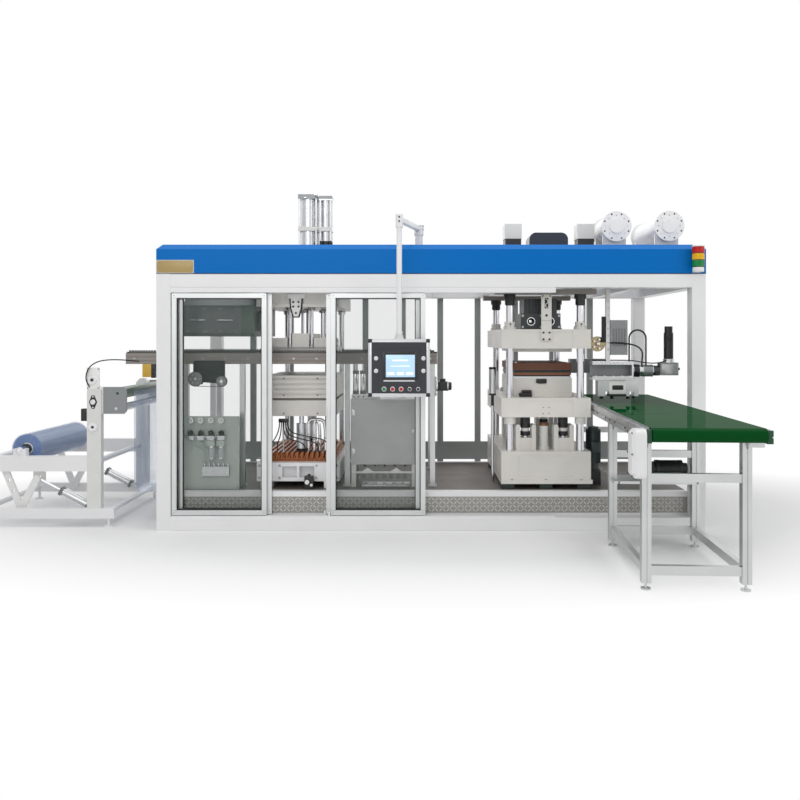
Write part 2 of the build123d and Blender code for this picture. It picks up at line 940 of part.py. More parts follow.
frame_bottom = upper_table_bottom + tool_plate_thickness
box_bottom = frame_bottom + tool_frame_height
with BuildPart() as upper_table:
    block(forming_side, (forming_near, forming_far), (upper_table_bottom, frame_bottom))
    block((forming_side[0] + table_lip, forming_side[1] - table_lip), (forming_near + table_lip, forming_far - table_lip),
          (frame_bottom, box_bottom))
    block(around(forming_x, middle_block_half), (forming_near, forming_far),
          (box_bottom, box_bottom + middle_block_height))
    for side in (-1, 1):
        low, high = sorted((forming_x + side * side_block[0], forming_x + side * side_block[1]))
        block((low, high), (forming_near, forming_far), (box_bottom, box_bottom + side_block_height))
        pocket((low + high) / 2, forming_near, box_bottom + side_block_height / 2, (high - low) / 2,
               side_block_height / 2, tube_edge, pocket_depth)

guide_places = [(forming_x + side * guide_half, y) for side in (-1, 1)
                for y in (forming_near + guide_inset, forming_far - guide_inset)]
rod_bore_top = piston_rod_top + upper_table_stroke + table_lip
with BuildPart() as table_rods:
    for x, y in guide_places:
        rod(guide_radius, (x, y, box_bottom), (x, y, guide_top))
    for x, half, top, radius, seat in roof_cylinder_sets:
        rod(radius, (x, cylinder_y, upper_table_bottom + seat), (x, cylinder_y, piston_rod_top))

crosshead_face = front + crosshead_front
crosshead_top = crosshead_bottom + crosshead_height
rib_margin = 30
with BuildPart() as crosshead:
    block(around(forming_x, forming_base_half), (crosshead_face, forming_far + crosshead_overhang),
          (crosshead_bottom, crosshead_top))
    block(around(forming_x, forming_base_half - rib_margin),
          (crosshead_face + rib_margin, forming_far + crosshead_overhang - rib_margin), (crosshead_top, beam_bottom))
    pocket_width, pocket_height, crosshead_pocket_depth = crosshead_pocket
    for side in (-1, 1):
        pocket(forming_x + side * crosshead_pocket_spacing, crosshead_face, crosshead_bottom + crosshead_height / 2,
               pocket_width, pocket_height, tube_edge, crosshead_pocket_depth)
    for x, y in guide_places:
        rod(guide_radius + slide_fit, (x, y, crosshead_bottom), (x, y, beam_bottom), mode=Mode.SUBTRACT)
    for x, half, top, radius, seat in roof_cylinder_sets:
        rod(radius + slide_fit, (x, cylinder_y, crosshead_bottom), (x, cylinder_y, beam_bottom),
            mode=Mode.SUBTRACT)

with BuildPart() as crosshead_ties:
    for y in ties_at:
        block((roof_beams_at[0] + inner_beam_width / 2, roof_beams_at[1] - inner_beam_width / 2),
              around(y, tie_width / 2), (beam_bottom, beam_bottom + tie_height))

with BuildPart() as roof_cylinders:
    for x, half, top, radius, seat in roof_cylinder_sets:
        square = (around(x, half), around(cylinder_y, half))
        block(*square, (deck, deck + cylinder_head))
        block(*square, (top - cylinder_head, top))
        block(*square, cylinder_flange)
        rod(half - tie_rod_inset - tie_rod_radius / 2, (x, cylinder_y, deck + cylinder_head),
            (x, cylinder_y, top - cylinder_head))
        for side_x in (-1, 1):
            for side_y in (-1, 1):
                tie = (x + side_x * (half - tie_rod_inset), cylinder_y + side_y * (half - tie_rod_inset))
                rod(tie_rod_radius, (*tie, deck + cylinder_head), (*tie, top - cylinder_head))
        rod(radius + slide_fit, (x, cylinder_y, deck), (x, cylinder_y, rod_bore_top), mode=Mode.SUBTRACT)

# Air panel with gauges, knobs, valves and filter bowls

panel_plate_y = (front + air_panel_setback, front + air_panel_setback + air_panel_thickness)
fitting_near = panel_plate_y[0] - fitting_depth
with BuildPart() as air_panel:
    block(air_panel_span, panel_plate_y, (bed_top, air_panel_top))
    for x in (air_panel_span[0] + air_post_size, air_panel_span[1] - air_post_size):
        block(around(x, air_post_size / 2), (panel_plate_y[1], panel_plate_y[1] + air_post_size),
              (bed_top, air_panel_top - air_post_size))

gauge_first, gauge_pitch, gauge_count, gauge_level = gauge_row
bowl_width, bowl_depth, bowl_head_height = bowl_head
valve_width, valve_depth, valve_height = valve_size
with BuildPart() as air_regulators:
    for k in range(gauge_count):
        x = gauge_first + k * gauge_pitch
        turned(gauge_steps, (x, panel_plate_y[0], gauge_level), (0, -1, 0))
        turned(knob_steps, (x, panel_plate_y[0], knob_level), (0, -1, 0))
        block(around(x, valve_width / 2), (panel_plate_y[0] - valve_depth, panel_plate_y[0]),
              around(valve_level, valve_height / 2))
    for x in bowls_at:
        turned(bowl_steps, (x, panel_plate_y[0] - bowl_depth / 2, bowl_levels[0]), (0, 0, 1))
        block(around(x, bowl_width / 2), (panel_plate_y[0] - bowl_depth, panel_plate_y[0]),
              (bowl_levels[1], bowl_levels[1] + bowl_head_height))
    block(manifold_span, (fitting_near, panel_plate_y[0]), manifold_levels)

# Control cabinet on legs, its door proud of the case

cabinet_y = (front + cabinet_front, front + cabinet_front + cabinet_depth)
with BuildPart() as cabinet:
    block(cabinet_span, cabinet_y, cabinet_levels)
    fillet(cabinet.edges().filter_by(Axis.Z), tube_edge)
    with BuildSketch(facing_front(sum(cabinet_span) / 2, cabinet_y[0], sum(cabinet_levels) / 2)):
        RectangleRounded(cabinet_span[1] - cabinet_span[0] - 2 * cabinet_door_margin,
                         cabinet_levels[1] - cabinet_levels[0] - 2 * cabinet_door_margin, tube_edge)
    extrude(amount=cabinet_door_depth)
    leg_shift = cabinet_leg / 2 + cabinet_leg_inset
    for x in (cabinet_span[0] + leg_shift, cabinet_span[1] - leg_shift):
        for y in (cabinet_y[0] + leg_shift, cabinet_y[1] - leg_shift):
            block(around(x, cabinet_leg / 2), around(y, cabinet_leg / 2), (bed_top, cabinet_levels[0]))

# Cutting press: base, columns with collars, and platens

cutting_near = front + cutting_front
cutting_far = cutting_near + cutting_depth
cutting_side = around(cutting_x, cutting_width / 2)
cutting_columns_at = four_corners(cutting_x, cutting_column_half, cutting_near + column_inset,
                                  cutting_depth - 2 * column_inset)
base_bottom = cutting_base_bottom + base_plinth

with BuildPart() as cutting_base:
    block(cutting_side, (cutting_near, cutting_far), (base_bottom, cutting_base_top))
    fillet(cutting_base.edges().filter_by(Axis.Z), press_edge)
    block((cutting_side[0], cutting_side[1] + plinth_step), (cutting_near - plinth_step, cutting_far),
          (cutting_base_bottom, base_bottom))
    pocket_width, pocket_height, pocket_chamfer = base_pocket
    with BuildSketch(facing_front(cutting_x, cutting_near, (base_bottom + cutting_base_top) / 2)):
        Rectangle(pocket_width, pocket_height)
        chamfer(vertices(), pocket_chamfer)
    extrude(amount=-pocket_depth, mode=Mode.SUBTRACT)

with BuildPart() as cutting_pads:
    for x in (cutting_side[0] + pad_inset[0], cutting_x, cutting_side[1] - pad_inset[0]):
        for y in (cutting_near + pad_inset[1], cutting_far - pad_inset[1]):
            block(around(x, pad_size[0] / 2), around(y, pad_size[1] / 2), (bed_top, cutting_base_bottom))

head_height = sum(length for radius, length in head_collar_steps)
collar_height = sum(length for radius, length in collar_steps)
with BuildPart() as cutting_columns:
    for x, y in cutting_columns_at:
        turned(
            (
                (cutting_column_radius, upper_platen_top - cutting_base_top),
                *collar_steps,
                (cutting_column_radius, column_top - upper_platen_top - collar_height - head_height),
                *head_collar_steps,
            ),
            (x, y, cutting_base_top),
            (0, 0, 1),
        )

with BuildPart() as press_ties:
    for y in (cutting_near + column_inset, cutting_far - column_inset):
        block((roof_beams_at[3], roof_beams_at[4]), around(y, press_tie_half), (column_top, beam_bottom))

with BuildPart() as balance_cylinder:
    x, y, barrel, stem, low, high = balance_cylinder_place
    turned(((stem, low - bed_top), (barrel, high - low)), (x, y, bed_top), (0, 0, 1))


def platen(bottom, top, bore):
    """A press platen with four column bores and a pocket in its front."""
    with BuildPart() as slab:
        block(cutting_side, (cutting_near, cutting_far), (bottom, top))
        fillet(slab.edges().filter_by(Axis.Z), press_edge)
        width, height, edge = platen_pocket
        pocket(cutting_x, cutting_near, (bottom + top) / 2, width, height, edge, pocket_depth)
        for x, y in cutting_columns_at:
            rod(bore, (x, y, bottom), (x, y, top), mode=Mode.SUBTRACT)
    return slab


upper_platen = platen(upper_platen_bottom, upper_platen_top, cutting_column_radius)

with BuildPart() as upper_tool:
    block(around(cutting_x, tool_half), (forming_near, forming_far), (upper_tool_bottom, upper_platen_bottom))

with BuildPart() as press_plate:
    block(around(cutting_x, press_plate_half), (cutting_near - press_plate_thickness, cutting_near),
          press_plate_levels)
    fillet(press_plate.edges().filter_by(Axis.Y), press_edge)

with BuildPart() as lower_platen:
    add(platen(lower_platen_bottom, lower_platen_top, cutting_column_radius + slide_fit).part)
    for x, y in cutting_columns_at:
        with BuildSketch(Plane.XY.offset(lower_platen_bottom - sleeve_height)):
            with Locations((x, y)):
                Circle(sleeve_radius)
                Circle(cutting_column_radius + slide_fit, mode=Mode.SUBTRACT)
        extrude(amount=sleeve_height)

# Lift rams under the lower platen, each in a housing with two arched walls
ram_places = [(cutting_x + side * ram_half, y) for side in (-1, 1)
              for y in (cutting_near + ram_inset, cutting_far - ram_inset)]
with BuildPart() as ram_housings:
    for x, y in ram_places:
        for side in (-1, 1):
            low, high = sorted((x + side * ram_wall[0], x + side * ram_wall[1]))
            with BuildSketch(facing_front((low + high) / 2, y, cutting_base_top)):
                with Locations((0, (ram_wall_top - cutting_base_top) / 2)):
                    Rectangle(high - low, ram_wall_top - cutting_base_top)
                chamfer(vertices().group_by(Axis.Y)[-1], ram_wall_arch / 2)
            extrude(amount=ram_wall_depth, both=True)
        block(around(x, ram_wall[0]), around(y, ram_guide_half), (cutting_base_top, ram_guide_top))
        rod(ram_radius + slide_fit, (x, y, cutting_base_top), (x, y, ram_guide_top), mode=Mode.SUBTRACT)

with BuildPart() as lift_rams:
    for x, y in ram_places:
        turned(ram_steps, (x, y, cutting_base_top + ram_start), (0, 0, 1))

with BuildPart() as centre_post:
    turned(centre_post_steps, (cutting_x, cutting_near + centre_post_inset, cutting_base_top), (0, 0, 1))

# Die: a block, thin layers of several sizes with a slot between, and the cutting board
with BuildPart() as die_block:
    block(around(cutting_x, die_width / 2), (forming_near, forming_far), (lower_platen_top, die_block_top))
    slot_width, slot_height, slot_depth = die_slot
    pocket(cutting_x, forming_near, die_block_top - slot_height, slot_width, slot_height, pocket_depth, slot_depth)

with BuildPart() as die_layers_stack:
    layer_bottom = die_block_top
    for inset, layer_top in die_layers:
        block(around(cutting_x, die_width / 2 - inset), (forming_near + inset, forming_far - inset),
              (layer_bottom, layer_top))
        layer_bottom = layer_top

with BuildPart() as cutting_board:
    block(around(cutting_x, die_width / 2), (forming_near, forming_far), (layer_bottom, die_board_top))

# Drive on top of the upper platen, and the pump motor beside the press
with BuildPart() as press_gearbox:
    gearbox_y = (cutting_near + gearbox_setback[0], cutting_near + gearbox_setback[1])
    block(gearbox_span, gearbox_y, (upper_platen_top, gearbox_top))
    fillet(press_gearbox.edges().filter_by(Axis.Z), press_edge)
    for x in gearbox_ports_at:
        rod(gearbox_port_radius, (x, gearbox_y[0], gearbox_port_level),
            (x, gearbox_y[0] + gearbox_port_depth, gearbox_port_level), mode=Mode.SUBTRACT)
    motor_y = (cutting_near + gear_motor_setback[0], cutting_near + gear_motor_setback[1])
    block(gear_motor_span, motor_y, (gearbox_top, gear_motor_top))
    rib_width, rib_depth = gear_motor_rib
    with BuildSketch(facing_front(sum(gear_motor_span) / 2, motor_y[0], (gearbox_top + gear_motor_top) / 2)):
        with GridLocations(2 * rib_width, 1, 9, 1):
            Rectangle(rib_width, gear_motor_top - gearbox_top)
    extrude(amount=rib_depth)

with BuildPart() as pump_motor:
    turned(pump_motor_steps, (*pump_motor_at, pump_motor_level), (0, 0, 1))
    block(around(pump_motor_at[0], pump_motor_foot / 2), around(pump_motor_at[1], pump_motor_foot / 2),
          (bed_top, pump_motor_level))

# Stacking unit beyond the press, hung from the roof beams

with BuildPart() as stacker_hangers:
    for y in hangers_y:
        block(around(hanger_x, hanger_size[0] / 2), around(y, hanger_size[1] / 2), (hanger_bottom, beam_bottom))
        with BuildSketch(facing_front(hanger_x, y, (hanger_bottom + beam_bottom) / 2)):
            with GridLocations(1, hanger_hole_pitch, 1, hanger_hole_count):
                Circle(hanger_hole_radius)
        extrude(amount=hanger_size[1] / 2, both=True, mode=Mode.SUBTRACT)

with BuildPart() as stacker_beam:
    beam_low, beam_high = stacker_levels
    block(stacker_span, stacker_near, stacker_levels)
    block((stacker_span[0], stacker_span[1] - stacker_wall), (stacker_near[0], stacker_near[1] - stacker_wall),
          (beam_low + stacker_wall, beam_high - 2 * stacker_wall), mode=Mode.SUBTRACT)
    block(stacker_span, (stacker_near[0] - stacker_overhang, stacker_near[1] + stacker_overhang),
          (beam_low - stacker_flange, beam_low))
    block(stacker_span, stacker_far, stacker_levels)
    block(bridge_span, (stacker_near[1], stacker_far[0]), bridge_levels)

with BuildPart() as stacker_head:
    block(head_span, head_depth, head_levels)
    fillet(stacker_head.edges().filter_by(Axis.Z), press_edge)
    rib_width, rib_depth = head_rib
    with BuildSketch(facing_front(sum(head_span) / 2, head_depth[0], sum(head_levels) / 2)):
        with GridLocations(2 * rib_width, 1, 5, 1):
            Rectangle(rib_width, (head_levels[1] - head_levels[0]) / 2)
    extrude(amount=-rib_depth, mode=Mode.SUBTRACT)

with BuildPart() as stacker_pulley:
    pulley_start = stacker_motor_y - sum(s[1] for s in pulley_steps) / 2
    turned(pulley_steps, (pulley_x, pulley_start, pulley_level), (0, 1, 0))
    block((pulley_x, hanger_x - hanger_size[0] / 2), around(stacker_motor_y - rib_margin, pocket_depth),
          around(pulley_level, guide_radius))

with BuildPart() as stacker_motors:
    turned(stacker_motor_steps, (stacker_span[1], stacker_motor_y, stacker_motor_level), (1, 0, 0))
    end_left, end_right, end_depth, end_low, end_high = end_box
    block((end_left, end_right), around(stacker_motor_y, end_depth / 2), (end_low, end_high))
    fillet(stacker_motors.edges().filter_by(Axis.Z), press_edge)
    turned(lift_motor_steps, (lift_motor_x, stacker_motor_y, end_high), (0, 0, 1))

with BuildPart() as gripper_blocks:
    gripper_y = (stacker_near[0] + gripper_gap / 4, stacker_near[1])
    for span in gripper_spans:
        block(span, gripper_y, (gripper_bottom, beam_low - stacker_flange))
        with BuildSketch(facing_front(sum(span) / 2, gripper_y[0], gripper_bottom)):
            with Locations((0, gripper_gap / 2)):
                Rectangle(gripper_gap, gripper_gap)
        extrude(amount=-(gripper_y[1] - gripper_y[0]), mode=Mode.SUBTRACT)

# Delivery belt: legs of slotted profile, stretchers, side rails, rollers and the belt itself

belt_frame_width = belt_width + 2 * belt_edge
belt_place = Location(belt_origin, (0, 0, belt_turn))
rail_low = belt_level - belt_rail_drop[0]
rail_high = belt_level - belt_rail_drop[1]
roller_level = belt_level - belt_roller_radius
frame_end = belt_frame_width - belt_edge_gap

with BuildPart() as belt_legs:
    for v, floor in leg_rows:
        for u in leg_places:
            with BuildSketch(Plane.XY.offset(floor + foot_height)):
                with Locations((u, v)):
                    Rectangle(belt_leg, belt_leg)
                    with PolarLocations((belt_leg - leg_slot[1]) / 2, 4):
                        Rectangle(leg_slot[1], leg_slot[0], mode=Mode.SUBTRACT)
            extrude(amount=rail_low - floor - foot_height)
            turned(((foot_radius, foot_thickness), (foot_stem_radius, foot_height - foot_thickness)), (u, v, floor),
                   (0, 0, 1))

with BuildPart() as belt_stretchers:
    across = (leg_places[0] + belt_leg / 2, leg_places[1] - belt_leg / 2)
    for v, floor in leg_rows:
        for level in stretcher_levels:
            if level[0] > floor:
                block(across, around(v, stretcher_width / 2), level)
        block((leg_places[1] + belt_leg / 2, frame_end), around(v, stretcher_width / 2),
              (rail_low - stretcher_width, rail_low))
    for u in leg_places:
        block(around(u, stretcher_width / 2), (leg_rows[0][0] + belt_leg / 2, leg_rows[1][0] - belt_leg / 2),
              stretcher_levels[1])

with BuildPart() as belt_rails:
    rail_run = (belt_roller_radius / 2, belt_length - belt_roller_radius / 2)
    slot_width, slot_depth = leg_slot
    for u, groove in ((0, 0), (belt_frame_width - belt_edge, belt_edge - belt_edge_gap - slot_depth)):
        block((u, u + belt_edge - belt_edge_gap), rail_run, (rail_low, rail_high))
        block((u + groove, u + groove + slot_depth), rail_run, around((rail_low + rail_high) / 2, slot_width / 2),
              mode=Mode.SUBTRACT)

with BuildPart() as belt_rollers:
    for v in (belt_roller_radius, belt_length - belt_roller_radius):
        turned(((roller_pin_radius, belt_edge), (belt_roller_radius - belt_sheet, belt_width),
                (roller_pin_radius, belt_edge - belt_edge_gap)), (0, v, roller_level), (1, 0, 0))

with BuildPart() as belt_bed:
    bed_end = 2 * belt_roller_radius + press_edge
    block((belt_edge, belt_edge + belt_width), (bed_end, belt_length - bed_end),
          (roller_level - belt_roller_radius + belt_sheet, belt_level - belt_sheet))

with BuildPart() as delivery_belt:
    with BuildSketch(Plane(origin=(belt_edge, belt_length / 2, roller_level), x_dir=(0, 1, 0), z_dir=(1, 0, 0))):
        SlotOverall(belt_length, 2 * belt_roller_radius)
        SlotOverall(belt_length - 2 * belt_sheet, 2 * (belt_roller_radius - belt_sheet), mode=Mode.SUBTRACT)
    extrude(amount=belt_width)

# Guard over the belt drive, its outer face tapered
with BuildPart() as drive_guard:
    guard_length, guard_height_all, guard_corner = guard_size
    middle_v, middle_z = guard_middle
    with BuildSketch(Plane(origin=(-belt_edge_gap, middle_v, middle_z), x_dir=(0, 1, 0), z_dir=(-1, 0, 0))):
        RectangleRounded(guard_length, guard_height_all, guard_corner)
    extrude(amount=guard_reach)
    chamfer(drive_guard.faces().sort_by(Axis.X)[0].edges(), guard_slope)

with BuildPart() as pump_shelf:
    shelf_v = leg_rows[1][0]
    block(across, around(shelf_v, shelf_half), shelf_levels)
    for u in leg_places:
        block(around(u, shelf_bracket / 2), (shelf_v - shelf_half, shelf_v - belt_leg / 2), shelf_levels)

with BuildPart() as vacuum_pump:
    turned(pump_steps, (pump_span[0], shelf_v, pump_level), (1, 0, 0))
    foot_length, foot_width, foot_thick = pump_foot
    block(around(sum(pump_span) / 2, foot_length / 2), around(shelf_v, foot_width / 2),
          (shelf_levels[1], shelf_levels[1] + foot_thick))
    block(around(sum(pump_span) / 2, foot_length / 3), around(shelf_v, foot_width / 4),
          (shelf_levels[1] + foot_thick, pump_level))

# Equipment on the roof

with BuildPart() as press_motors:
    cap_half, cap_inset, cap_top = press_motor_cap
    motor_near, motor_far = press_motor_depth
    for x in press_motors_at:
        block(around(x, press_motor_half), press_motor_depth, (deck, press_motor_top))
    fillet(press_motors.edges().filter_by(Axis.Z), press_edge)
    for x in press_motors_at:
        block(around(x, cap_half), (motor_near + cap_inset, motor_far - cap_inset), (press_motor_top, cap_top))

with BuildPart() as roof_drive:
    block(roof_drive_span, roof_drive_depth, (deck, roof_drive_top))
    fillet(roof_drive.edges().filter_by(Axis.Y).group_by(Axis.Z)[-1], roof_drive_round)

with BuildPart() as roof_drums:
    for x, drum_near, length in drum_sets:
        turned(
            (
                (drum_hub_radius, drum_hub_length),
                (drum_radius, drum_rim),
                (drum_body_radius, length - 2 * drum_rim),
                (drum_radius, drum_rim),
                (drum_hub_radius, drum_hub_length),
            ),
            (x, drum_near - drum_hub_length, drum_level),
            (0, 1, 0),
        )
        with BuildSketch(facing_front(x, drum_near, drum_level)):
            with PolarLocations(drum_bolt_circle, 8):
                Circle(drum_bolt_radius)
        extrude(amount=-drum_rim / 2, mode=Mode.SUBTRACT)

with BuildPart() as drum_stands:
    stand_plate_width, stand_plate_thickness = drum_stand
    for x, drum_near, length in drum_sets:
        for y in (drum_near + drum_stand_inset[0], drum_near + length - drum_stand_inset[1]):
            with BuildSketch(facing_front(x, y, deck)):
                with Locations((0, (drum_level - deck) / 2 - drum_hub_radius / 2)):
                    Rectangle(stand_plate_width, drum_level - deck - drum_hub_radius)
                with Locations((0, drum_level - deck)):
                    Circle(drum_body_radius, mode=Mode.SUBTRACT)
            extrude(amount=stand_plate_thickness / 2, both=True)

# Signal lamp on the cover: a bracket, a base, three lenses and a cap

with BuildPart() as signal_lamp:
    bracket_bottom, bracket_top, lens_start = lamp_base
    lamp_y = front - lamp_reach
    block(around(lamp_x, lamp_radius / 2), (lamp_y - lamp_radius / 2, front), (bracket_bottom, bracket_top))
    lens_steps = ((lamp_radius, lamp_lens), (lamp_neck, lamp_gap)) * 3
    turned(((lamp_neck, lens_start - bracket_top), *lens_steps, (lamp_radius - lamp_gap, lamp_cap)),
           (lamp_x, lamp_y, bracket_top), (0, 0, 1))

# Control panel hung from a swinging arm

pivot = (arm_pivot_x, front + arm_pivot_y)
pole_y = front - panel_front
with BuildPart() as arm_post:
    hub_steps_height = arm_hub_steps[0][1]
    post_top = arm_level - hub_steps_height / 2 - rib_margin / 2
    turned(((arm_post_foot, roof_plate_thickness), (arm_post_radius, post_top - deck - roof_plate_thickness)),
           (*pivot, deck), (0, 0, 1))

with BuildPart() as panel_arm:
    turned(arm_hub_steps, (*pivot, post_top), (0, 0, 1))
    run = Vector(panel_x - pivot[0], pole_y - pivot[1], 0)
    with BuildSketch(Plane(origin=(*pivot, arm_level), x_dir=(-run.Y, run.X, 0), z_dir=run.normalized())):
        RectangleRounded(arm_size, arm_size, arm_edge)
    extrude(amount=run.length)
    swivel_top = panel_bottom + panel_height + sum(s[1] for s in swivel_steps)
    clamp_bottom = arm_level - arm_clamp_height
    turned(((pole_radius, clamp_bottom - swivel_top), (arm_clamp_radius, 2 * arm_clamp_height)),
           (panel_x, pole_y, swivel_top), (0, 0, 1))

with BuildPart() as panel_swivel:
    turned(swivel_steps, (panel_x, pole_y, panel_bottom + panel_height), (0, 0, 1))

panel_side = around(panel_x, panel_width / 2)
panel_level = panel_bottom + panel_height / 2
panel_face_y = pole_y - panel_depth / 2
face_y = panel_face_y + panel_recess - panel_face_thickness
with BuildPart() as panel_case:
    block(panel_side, around(pole_y, panel_depth / 2), (panel_bottom, panel_bottom + panel_height))
    fillet(panel_case.edges().filter_by(Axis.Y), panel_corner)
    pocket(panel_x, panel_face_y, panel_level, panel_width - 2 * panel_rim, panel_height - 2 * panel_rim, arm_edge,
           panel_recess)

with BuildPart() as panel_face:
    with BuildSketch(facing_front(panel_x, panel_face_y + panel_recess, panel_level)):
        RectangleRounded(panel_width - 2 * panel_rim, panel_height - 2 * panel_rim, arm_edge)
    extrude(amount=panel_face_thickness)
    screen_shift, screen_level = screen_middle
    with BuildSketch(facing_front(panel_x + screen_shift, face_y, screen_level)):
        RectangleRounded(*screen_size)
    extrude(amount=screen_thickness)

with BuildPart() as panel_buttons:
    for k, radius in enumerate(button_radii):
        turned(((radius + panel_face_thickness, 4), (radius, button_reach)),
               (panel_x + button_first + k * button_pitch, face_y, button_level), (0, -1, 0))
    for x in side_knobs_at:
        for z in side_knob_levels:
            turned(((side_knob_radius + 4, 4), (side_knob_radius, button_reach)), (panel_x + x, face_y, z),
                   (0, -1, 0))

# Film unwinder: two side frames joined by cross tubes

stand_rows = (front + stand_near, front + stand_near + stand_width)
stand_middle = sum(stand_rows) / 2
tube_half = stand_tube / 2
column_x = (stand_right - column_depth, stand_right)
with BuildPart() as stand_columns:
    for y in stand_rows:
        with BuildSketch(facing_front(sum(column_x) / 2, y, 0)):
            with Locations((0, sum(column_levels) / 2)):
                Rectangle(column_depth, column_levels[1] - column_levels[0])
            chamfer(vertices().group_by(Axis.Y)[-1], column_head)
        extrude(amount=tube_half, both=True)

with BuildPart() as stand_ends:
    for y in stand_rows:
        block((stand_left, stand_left + end_post_depth), around(y, tube_half), (foot_beam_levels[1], top_beam_levels[0]))

with BuildPart() as stand_beams:
    for y in stand_rows:
        block((stand_left, column_x[0]), around(y, tube_half), top_beam_levels)
        block((stand_left, stand_right + foot_beam_overhang), around(y, tube_half), foot_beam_levels)
        for x in (stand_left + stand_foot_inset[0], stand_right + stand_foot_inset[1]):
            turned(stand_foot_steps, (x, y, 0), (0, 0, 1))

with BuildPart() as stand_cross_tubes:
    beam_middle = sum(top_beam_levels) / 2
    foot_middle = sum(foot_beam_levels) / 2
    for x, z in ((stand_left + stand_foot_inset[0], foot_middle), (stand_right + tube_half, foot_middle),
                 (column_x[0] + tube_half, beam_middle), (stand_left + stand_foot_inset[0], beam_middle)):
        rod(cross_tube_radius, (x, stand_rows[0] + tube_half, z), (x, stand_rows[1] - tube_half, z))

# Open bearings of the film roll on the stand
journal_half, mouth_half, journal_rise, journal_depth = journal
with BuildPart() as roll_bearings:
    for y in stand_rows:
        with BuildSketch(facing_front(roll_x, y, top_beam_levels[1])):
            axis_height = roll_level - top_beam_levels[1]
            with Locations((0, (axis_height + mouth_half / 2) / 2)):
                Rectangle(2 * journal_half, axis_height + mouth_half / 2)
            with Locations((0, axis_height)):
                Circle(shaft_radius + slide_fit, mode=Mode.SUBTRACT)
            with Locations((0, axis_height + mouth_half / 2)):
                Rectangle(2 * (shaft_radius + slide_fit), mouth_half, mode=Mode.SUBTRACT)
        extrude(amount=journal_depth, both=True)

with BuildPart() as film_roll:
    roll_near = stand_middle - roll_length / 2
    shaft_near = stand_rows[0] - shaft_overhang
    shaft_run = roll_near - shaft_near
    turned(((shaft_radius, shaft_run), (roll_radius, roll_length), (shaft_radius, shaft_run)),
           (roll_x, shaft_near, roll_level), (0, 1, 0))

# Nip roller and web roller in brackets at the head of the columns
with BuildPart() as nip_rollers:
    for x, z, radius in (nip_roller, web_roller):
        pin_near = stand_rows[0] - panel_face_thickness
        pin_run = roller_gap + panel_face_thickness
        turned(((roller_pin_radius, pin_run), (radius, stand_width - 2 * roller_gap), (roller_pin_radius, pin_run)),
               (x, pin_near, z), (0, 1, 0))

# Guide roller that turns the film into the chains, held between the rails
with BuildPart() as web_guide:
    guide_pin = web_margin / 2
    turned(
        (
            (roller_pin_radius, guide_pin),
            (web_guide_radius - web_thickness / 2, rail_spacing - rail_width - 2 * guide_pin),
            (roller_pin_radius, guide_pin),
        ),
        (web_far_x + web_guide_radius, rail_rows[0] + rail_width, film_level - web_guide_radius),
        (0, 1, 0),
    )

bracket_low, bracket_high = roller_bracket_levels
with BuildPart() as nip_brackets:
    for y in stand_rows:
        with BuildSketch(facing_front((stand_right + roller_bracket_x) / 2, y, (bracket_low + bracket_high) / 2)):
            Rectangle(roller_bracket_x - stand_right, bracket_high - bracket_low)
            chamfer(vertices().group_by(Axis.X)[-1], roller_bracket_edge)
        extrude(amount=press_edge, both=True)
        for x, z, radius in (nip_roller, web_roller):
            rod(roller_pin_radius, (x, y - press_edge, z), (x, y + press_edge, z), mode=Mode.SUBTRACT)

# Loading lever: two bent plates with bosses, joined by a cross bar

lever_rows = (stand_rows[0] + lever_gap, stand_rows[1] - lever_gap)
lever_half = lever_thickness / 2
with BuildPart() as loading_lever:
    for y, inward in zip(lever_rows, (1, -1)):
        for end in (lever_arm, lever_tip):
            link(y, lever_thickness, lever_end_radius, (lever_x, lever_level), end)
        face = y + inward * lever_half
        rod(tip_pin_radius, (lever_tip[0], face, lever_tip[1]),
            (lever_tip[0], y + inward * (cylinder_offset + lever_bar_radius), lever_tip[1]))
        rod(lever_pin_radius + slide_fit, (lever_x, y - lever_half, lever_level), (lever_x, y + lever_half, lever_level),
            mode=Mode.SUBTRACT)
        for share in lever_holes_at:
            hole = (lever_x + share * (lever_arm[0] - lever_x), lever_level + share * (lever_arm[1] - lever_level))
            rod(lever_hole_radius, (hole[0], y - lever_half, hole[1]), (hole[0], y + lever_half, hole[1]),
                mode=Mode.SUBTRACT)
    rod(lever_bar_radius, (lever_arm[0], lever_rows[0] + lever_half, lever_arm[1]),
        (lever_arm[0], lever_rows[1] - lever_half, lever_arm[1]))

with BuildPart() as lever_pins:
    for y, inward in zip(stand_rows, (1, -1)):
        low, high = sorted((y + inward * tube_half, y + inward * (lever_gap + lever_half + lever_pin_end)))
        rod(lever_pin_radius, (lever_x, low, lever_level), (lever_x, high, lever_level))

# Air cylinders that work the loading lever, each on a foot pin, with its piston rod
cylinder_run = Vector(lever_tip[0] - cylinder_foot[0], 0, lever_tip[1] - cylinder_foot[1])
cylinder_line = cylinder_run.normalized()
cylinder_rows = (lever_rows[0] + cylinder_offset, lever_rows[1] - cylinder_offset)
eye_half = 12
rod_eye_half = 10


def along_cylinder(y, distance):
    """A point on the cylinder's line, measured from its foot pin."""
    return (cylinder_foot[0] + cylinder_line.X * distance, y, cylinder_foot[1] + cylinder_line.Z * distance)


